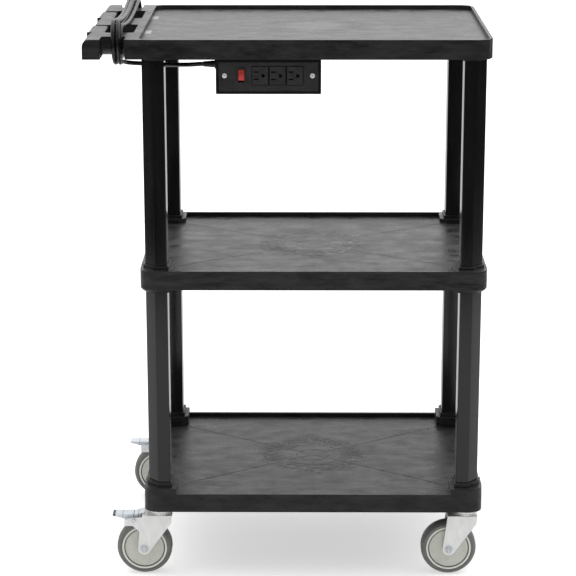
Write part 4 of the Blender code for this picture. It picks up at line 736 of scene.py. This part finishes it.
def makeFaceplate():
    look = plateLook
    rim, bend, edge = look["rim"], look["rimRound"], look["edge"]
    low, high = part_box("strip_faceplate")
    outer = (low.x, high.x, low.z, high.z)
    profile = [(0, high.y)]
    for step in range(look["rimSteps"] + 1):
        angle = math.pi / 2 * step / look["rimSteps"]
        profile.append((bend * (1 - math.cos(angle)), low.y + bend * (1 - math.sin(angle))))
    profile += [(rim - look["rimBreak"], low.y), (rim, low.y + look["rimBreak"]), (rim, high.y)]
    bm = bmesh.new()
    rings = [rectangleLoop(bm, outer, inset, max(look["corner"] - inset, look["leastCorner"]), y)
             for inset, y in profile]
    for index, ring in enumerate(rings):
        bridgeLoops(bm, ring, rings[(index + 1) % len(rings)])
    faceOut(bm)
    frameRim = keepMesh("strip_plate_rim", bm, "rim")
    bm = bmesh.new()
    front = low.y + look["sunk"]
    outlines = [(outer, rim + look["seam"], look["leastCorner"], edge)]
    for node in stripInserts:
        small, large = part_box(node)
        gap = look["bezelGap"] if node == "switch_bezel" else look["outletGap"]
        outlines.append(((small.x, large.x, small.z, large.z), -gap, look["holeCorner"], -edge / 2))
    loops = [[rectangleLoop(bm, box, inset, corner, high.y),
              rectangleLoop(bm, box, inset, corner, front + abs(slope)),
              rectangleLoop(bm, box, inset + slope, corner, front)] for box, inset, corner, slope in outlines]
    for back, bent, face in loops:
        bridgeLoops(bm, back, bent)
        bridgeLoops(bm, bent, face)
    fillLoops(bm, [loop[0] for loop in loops])
    fillLoops(bm, [loop[2] for loop in loops])
    faceOut(bm)
    plate = keepMesh("strip_plate", bm, "steel")
    finishPiece(plate, "cart", "steel", "strip_faceplate")
    finishPiece(frameRim, "cart", "steel")


def paintRecessShade(piece, front):
    # Painted shade: the recesses behind the front face are painted dark.
    recessShade = piece.data.attributes.new("recessShade", "FLOAT", "POINT")
    start = front + stripLook["recessShadeFrom"]
    recessShade.data.foreach_set("value", [1.0 if vert.co.y > start else 0.0 for vert in piece.data.vertices])


def makeStrip():
    look = stripLook
    housing = dressNode("strip_housing", "strip_housing_shell", "rim", look["housingRounding"])
    finishPiece(housing, "cart", "steel", "strip_housing")
    makeFaceplate()
    for node in stripInserts:
        piece = dressNode(node, f"{node}_shell", "outlet", look["outletRounding"])
        finishPiece(piece, "cart", "outlet", node)
        paintRecessShade(piece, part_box(node)[0].y)
    rocker = dressNode("switch_rocker", "switch_rocker_cap", "red", look["rockerRounding"])
    finishPiece(rocker, "rocker", "red", "switch_rocker")
    base = bmesh.new()
    for side in ("left", "right"):
        low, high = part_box(f"faceplate_screw_{side}")
        base.verts.new(((low.x + high.x) / 2, low.y + screwLook["dome"], (low.z + high.z) / 2))
    heads = growPiece("faceplate_screw_heads", base, makeScrewTree(), screwLook, "zinc")
    finishPiece(heads, "cart", "zinc", "faceplate_screw_left", "faceplate_screw_right")


makeStrip()
print("outlet strip dressed")


# Strain relief: a tapered sleeve with rings along it
reliefLook = {"start": (-0.168, -0.2081, -0.0448), "length": 0.022, "rootRadius": 0.0058,
              "tipRadius": 0.00437, "flangeRadius": 0.0082, "flange": 0.0023, "collar": (-0.0038, -0.0018),
              "neck": 0.0003, "rounds": (0.0008, 0.0006, 0.0004), "roundSteps": 5, "sides": 40,
              "ringsFrom": 0.003, "ringsTo": 0.0025}
ringLook = {"rings": 6, "ringWidth": 0.0013, "rootRadius": 0.0062, "tipRadius": 0.00487}


def makeRingTree():
    tree, start = startTree("reliefTree", ringLook)
    line = addNode(tree, "GeometryNodeMeshToCurve", {"Mesh": start["Geometry"]})[0]
    places = addNode(tree, "GeometryNodeCurveToPoints", {"Curve": line, "Count": start["rings"]},
                     mode="COUNT")["Points"]
    index = addNode(tree, "GeometryNodeInputIndex", {})[0]
    share = mathOf(tree, "DIVIDE", index, mathOf(tree, "SUBTRACT", start["rings"], 1.0))
    radius = blendOf(tree, share, start["rootRadius"], start["tipRadius"])
    ring = addNode(tree, "GeometryNodeMeshCylinder", {"Vertices": 32, "Radius": 1.0, "Depth": 1.0})["Mesh"]
    size = vectorOf(tree, radius, radius, start["ringWidth"])
    return endTree(tree, start, instancesOf(tree, places, ring, (0, math.pi / 2, 0), size))


def makeRelief():
    look = reliefLook
    place = Vector(look["start"]) + Vector((shelfMiddle, 0, topLip))
    root, wide, neck = look["rootRadius"], look["flangeRadius"], look["neck"]
    flange, length = look["flange"], look["length"]
    back, front = look["collar"]
    flangeRound, rootRound, tipRound = look["rounds"]
    profile = [
        (0, back, 0), (wide, back, 0), (wide, front, 0), (root, front, 0), (root, neck, 0), (wide, neck, 0),
        (wide, flange, flangeRound), (root, flange, rootRound), (look["tipRadius"], length, tipRound),
        (0, length, 0)]
    bm = turnedMesh(profile, look["roundSteps"], look["sides"])
    bm.transform(Matrix.Translation(place) @ Matrix.Rotation(-math.pi / 2, 4, "Y"))
    sleeve = keepMesh("strain_relief_sleeve", bm, "cord")
    finishPiece(sleeve, "cart", "cord", "strip_strain_relief")
    line = bmesh.new()
    line.edges.new([line.verts.new(place - Vector((reach, 0, 0)))
                    for reach in (flange + look["ringsFrom"], length - look["ringsTo"])])
    rings = growPiece("strain_relief_rings", line, makeRingTree(), ringLook, "cord")
    finishPiece(rings, "cart", "cord")


makeRelief()


# Plug: a moulded body with grip ridges, and bright blades
plugLook = {"width": 0.026, "height": 0.021, "length": 0.033, "neck": 0.011, "neckRadius": 0.0062,
            "neckShare": 0.8, "squareness": 2.5, "sides": 40, "smoothAngle": 50, "bladeLength": 0.016,
            "bladeWidth": 0.0063, "bladeThickness": 0.0016, "bladeSpacing": 0.0127, "bladeSunk": 0.001,
            "pinRadius": 0.0024, "pinTip": 0.8, "pinSides": 24}
# Distance from the cord's end, share of the full size, and share of the squareness
plugSections = ((0.0, 0.30, 0.0), (0.003, 0.42, 0.0), (0.010, 0.50, 0.1), (0.012, 0.68, 0.5),
                (0.016, 0.84, 0.8), (0.020, 0.80, 0.9), (0.023, 0.90, 1.0), (0.027, 0.97, 1.0),
                (0.038, 1.0, 1.0), (0.0425, 1.0, 1.0), (0.044, 0.96, 1.0))


def makePlug():
    look = plugLook
    back = cordPath[-1]
    bm = bmesh.new()
    rings = []
    for along, share, square in plugSections:
        neck = look["neckRadius"] * look["neckShare"] * (1 - square)
        halfX = neck + look["width"] / 2 * share * square
        halfZ = neck + look["height"] / 2 * share * square
        power = 2 / (2 + look["squareness"] * square)
        ring = []
        for step in range(look["sides"]):
            angle = 2 * math.pi * step / look["sides"]
            x, z = [math.copysign(abs(part) ** power, part) * half
                    for part, half in ((math.cos(angle), halfX), (math.sin(angle), halfZ))]
            ring.append(bm.verts.new(back + Vector((x, -along, z))))
        rings.append(ring)
    for lower, upper in zip(rings, rings[1:]):
        bridgeLoops(bm, lower, upper)
    bm.faces.new(rings[0])
    bm.faces.new(rings[-1])
    faceOut(bm)
    body = keepMesh("plug_body", bm, "cord", look["smoothAngle"])
    finishPiece(body, "cart", "cord", "power_plug")
    metal = bmesh.new()
    length, width, radius = look["bladeLength"], look["bladeWidth"], look["pinRadius"]
    front = -(look["neck"] + look["length"] - look["bladeSunk"]) - length / 2
    for side in (-1, 1):
        blade = bmesh.ops.create_cube(metal, size=1)["verts"]
        scale = Matrix.Diagonal((look["bladeThickness"], length, width, 1))
        place = Matrix.Translation(back + Vector((side * look["bladeSpacing"] / 2, front, width / 2)))
        bmesh.ops.transform(metal, matrix=place @ scale, verts=blade)
    pin = bmesh.ops.create_cone(metal, cap_ends=True, segments=look["pinSides"], radius1=radius,
                                radius2=radius * look["pinTip"], depth=length)["verts"]
    place = Matrix.Translation(back + Vector((0, front, -look["height"] / 4)))
    bmesh.ops.transform(metal, matrix=place @ Matrix.Rotation(math.pi / 2, 4, "X"), verts=pin)
    blades = keepMesh("plug_blades", metal, "zinc")
    finishPiece(blades, "cart", "zinc")
    return body, blades


plugBody, plugBlades = makePlug()
print("plug and strain relief made")


# Casters
wheelLook = {"radius": 0.05, "halfWidth": 0.016, "hubRadius": 0.0408, "hubHalf": 0.0142, "steps": 96,
             "tyreFit": 0.0001, "shoulder": 0.0048, "tread": 0.0075, "tyreRounds": (0.0006, 0.0030, 0.0065),
             "bore": 0.0043, "sleeveRadius": 0.0095, "sleeveHalf": 0.0179, "sleeveSlope": 0.0015,
             "sleeveSunk": 0.0010, "discEdge": (0.0008, 0.0006), "ring": 0.0037, "groove": 0.0014,
             "grooveDepth": 0.0022, "rimEdge": (0.0003, 0.0004), "rimProud": 0.0001, "roundSteps": 3,
             "hubRounds": (0.0003, 0.0005, 0.0008, 0.0012, 0.0002, 0.0002, 0.0006, 0.0006),
             "shadeEdges": (0.0004, 0.0002), "tyreSteps": 6}
boltLook = {"radius": 0.0040, "head": 0.0068, "headHeight": 0.0040, "seat": 0.0214, "dimple": 0.0036,
            "dimpleSlope": 0.0008, "dimpleDepth": 0.0012, "crownShare": 0.86, "rimHeight": 0.0012,
            "rounds": (0, 0.0005, 0.0006, 0.0012, 0.0010, 0, 0), "roundSteps": 3, "sides": 40}
raceLook = {"radius": 0.0215, "topRadius": 0.0196, "inside": 0.0185, "bottom": 0.1174, "top": 0.1247,
            "lip": (0.0012, 0.0016), "shoulder": 0.0030, "headRadii": (0.0082, 0.009),
            "headBelow": (0.0523, 0.0519), "pinRadius": 0.0050, "stemRadius": 0.0055, "tipRadius": 0.0042,
            "tipLength": 0.002, "rounds": (0, 0.0012, 0.0006, 0, 0, 0, 0, 0.0005, 0.0014, 0.0010, 0, 0, 0, 0),
            "roundSteps": 4, "sides": 72, "ballHeight": 0.1180}
ballLook = {"balls": 22, "circleRadius": 0.0199, "ballRadius": 0.0017}
casterLook = {"plateRounding": 0.0007, "pinRounding": 0.0005}


def putOnAxle(corner, bm, name, surface, body, slot, node):
    low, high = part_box(f"{corner}_tyre")
    bm.transform(Matrix.Translation((low + high) / 2) @ Matrix.Rotation(math.pi / 2, 4, "X"))
    piece = keepMesh(f"{corner}_{name}", bm, surface)
    finishPiece(piece, f"{corner}_{body}", slot, f"{corner}_{node}")


def bothSides(places, rounds, first):
    # A half profile on one side of the wheel and its mirror image make one closed profile.
    side = [(*place, rounding) for place, rounding in zip(places, rounds)]
    return [(radius, first * height, rounding) for radius, height, rounding in side] + [
        (radius, -first * height, rounding) for radius, height, rounding in reversed(side)]


def makeTyre(corner):
    look = wheelLook
    radius, half = look["radius"], look["halfWidth"]
    places = [(look["hubRadius"] + look["tyreFit"], look["hubHalf"]), (radius - look["shoulder"], half),
              (radius, half - look["tread"])]
    bm = turnedMesh(bothSides(places, look["tyreRounds"], -1), look["tyreSteps"], look["steps"])
    putOnAxle(corner, bm, "tread", "tyre", "wheel", "tyre", "tyre")


def makeHub(corner):
    look = wheelLook
    rim, sleeve, hubRadius = look["hubHalf"], look["sleeveRadius"], look["hubRadius"]
    grooveOut = hubRadius - look["ring"]
    grooveIn = grooveOut - look["groove"]
    bottom = rim - look["grooveDepth"]
    discIn, discDown = look["discEdge"]
    rimIn, rimUp = look["rimEdge"]
    places = [(look["bore"], look["sleeveHalf"]), (sleeve - look["sleeveSlope"], look["sleeveHalf"]),
              (sleeve, rim - look["sleeveSunk"]), (grooveIn - discIn, rim - discDown), (grooveIn, bottom),
              (grooveOut, bottom), (grooveOut + rimIn, rim + rimUp), (hubRadius, rim + look["rimProud"])]
    bm = turnedMesh(bothSides(places, look["hubRounds"], 1), look["roundSteps"], look["steps"])
    shade = bm.verts.layers.float.new("shade")
    grooveShade, discShade, rimShade = hubShades["levels"]
    grooveEdge, rimEdge = look["shadeEdges"]
    # Groove vertices get the painted-shade level, rim vertices the lighter level
    for vert in bm.verts:
        radius = vert.co.xy.length
        sunk = abs(vert.co.z) < rim - look["grooveDepth"] / 2 and radius > grooveIn - grooveEdge
        vert[shade] = grooveShade if sunk else rimShade if radius > grooveOut - rimEdge else discShade
    putOnAxle(corner, bm, "wheel_disc", "hub", "wheel", "hub", "hub")


def makeBolt(corner):
    look = boltLook
    seat, head, dimple = look["seat"], look["head"], look["dimple"]
    end = seat + look["headHeight"]
    bottom = end - look["dimpleDepth"]
    places = [(0, bottom), (dimple - look["dimpleSlope"], bottom), (dimple, end),
              (head * look["crownShare"], end), (head, seat + look["rimHeight"]), (head, seat),
              (look["radius"], seat)]
    bm = turnedMesh(bothSides(places, look["rounds"], -1), look["roundSteps"], look["sides"])
    putOnAxle(corner, bm, "axle_bolt", "bolt", "fork", "zinc", "axle")


def makeBallTree():
    tree, start = startTree("ballTree", ballLook)
    circle = {"Vertices": start["balls"], "Radius": start["circleRadius"]}
    ring = addNode(tree, "GeometryNodeMeshCircle", circle)["Mesh"]
    sphere = {"Radius": start["ballRadius"], "Subdivisions": 2}
    ball = addNode(tree, "GeometryNodeMeshIcoSphere", sphere)["Mesh"]
    return endTree(tree, start, instancesOf(tree, start["Geometry"], instancesOf(tree, ring, ball)))


def makeRaces():
    look = raceLook
    bottom, top, inside, radius = look["bottom"], look["top"], look["inside"], look["radius"]
    pin, stem = look["pinRadius"], look["stemRadius"]
    lipIn, lipOut = look["lip"]
    headLow, headHigh = look["headRadii"]
    headUnder, headOver = look["headBelow"]
    base = bmesh.new()
    for corner in corners:
        low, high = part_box(f"{corner}_stem")
        middle = (low + high) / 2
        places = [(0, low.z), (headLow, low.z), (headHigh, high.z - headUnder), (pin, high.z - headOver),
                  (pin, bottom), (inside, bottom), (inside, bottom + lipIn), (radius, bottom + lipOut),
                  (radius, top - look["shoulder"]), (look["topRadius"], top), (stem, top),
                  (stem, high.z - look["tipLength"]), (look["tipRadius"], high.z), (0, high.z)]
        profile = [(*place, rounding) for place, rounding in zip(places, look["rounds"])]
        bm = turnedMesh(profile, look["roundSteps"], look["sides"])
        bm.transform(Matrix.Translation((middle.x, middle.y, 0)))
        piece = keepMesh(f"{corner}_race", bm, "zinc")
        finishPiece(piece, "cart", "zinc", f"{corner}_stem")
        base.verts.new((middle.x, middle.y, look["ballHeight"]))
    balls = growPiece("swivel_balls", base, makeBallTree(), ballLook, "zinc")
    finishPiece(balls, "cart", "zinc")


def makeCasters():
    look = casterLook
    for corner in corners:
        makeTyre(corner)
        makeHub(corner)
        makeBolt(corner)
        parts = [("yoke", "fork_plate", "zinc", "fork", look["plateRounding"])]
        if corner.endswith("left"):
            parts += [("brake_pedal", "pedal_plate", "pedal", "pedal", look["plateRounding"]),
                      ("pedal_pin", "pedal_rivet", "bolt", "fork", look["pinRounding"])]
        for node, name, surface, body, rounding in parts:
            piece = dressNode(f"{corner}_{node}", f"{corner}_{name}", surface, rounding)
            finishPiece(piece, f"{corner}_{body}", "zinc", f"{corner}_{node}")
    makeRaces()


makeCasters()
print("casters made")


# Any solid that still shows gets its surface
def paintTheRest():
    slots = {entry["node"]: entry["material_slot"] for entry in frame["record"]["subparts"]}
    for name, item in nodes.items():
        if not item.hide_render:
            dressMesh(item.data, slots[name], None)


paintTheRest()


# Studio: a pale floor that ends in front of the cart, bright all round but dim from the front
studioLook = {"floor": 0.88, "otherFloor": 0.90, "cloudScale": 2.0, "floorRoughness": 0.9,
              "floorDrop": 0.0002, "floorFront": -2.2, "floorBack": 60, "floorSide": 2.4, "glow": 0.50,
              "fill": 0.55, "dim": 0.35, "bright": 1.0, "frontToBack": (-0.55, 0.12), "below": 0.05,
              "horizon": (-0.06, 0.0), "sun": 1.1, "sunSpread": 100, "sunTurn": (-0.35, 0.12, 0.0)}


def makeFloor():
    look = studioLook
    back, front, side = look["floorBack"], look["floorFront"], look["floorSide"]
    places = ((-side, front), (side, front), (side, back), (-side, back))
    mesh = bpy.data.meshes.new("studio_floor")
    mesh.from_pydata([(x, y, -look["floorDrop"]) for x, y in places], [], [range(len(places))])
    floor = linkObject("studio_floor", mesh)
    paint, tree, shader, coords = startMaterial("floorPaint")
    cloud = noiseOf(tree, coords, look["cloudScale"])
    rays = addNode(tree, "ShaderNodeLightPath", {})
    glow = mathOf(tree, "ADD", productOf(tree, rays["Is Camera Ray"], look["glow"]),
                  productOf(tree, rays["Is Diffuse Ray"], look["fill"]))
    setInputs(tree, shader, {"Base Color": mixOf(tree, cloud, look["floor"], look["otherFloor"]),
                             "Roughness": look["floorRoughness"], "Emission Color": colourOf(1),
                             "Emission Strength": glow})
    mesh.materials.append(paint)


def makeLight():
    look = studioLook
    world = bpy.data.worlds.new("studio")
    bpy.context.scene.world = world
    world.use_nodes = True
    tree = world.node_tree
    ways = axesOf(tree, addNode(tree, "ShaderNodeTexCoord", {})["Generated"])
    glow = rangeOf(tree, ways["Y"], look["dim"], look["bright"], *look["frontToBack"])
    above = rangeOf(tree, ways["Z"], look["below"], 1, *look["horizon"])
    seen = addNode(tree, "ShaderNodeLightPath", {})["Is Camera Ray"]
    strength = mathOf(tree, "MAXIMUM", productOf(tree, glow, above), seen)
    setInputs(tree, tree.nodes["Background"], {"Color": colourOf(1), "Strength": strength})
    light = bpy.data.lights.new("overhead", "SUN")
    light.angle = math.radians(look["sunSpread"])
    light.energy = look["sun"]
    linkObject("overhead", light).rotation_euler = look["sunTurn"]
    bpy.context.scene.view_settings.view_transform = "Standard"


makeFloor()
makeLight()
print("studio lit")

finishPiece(powerCord, "cart", "cord", "power_cord_lead", "power_cord_hank", "power_cord_tail")
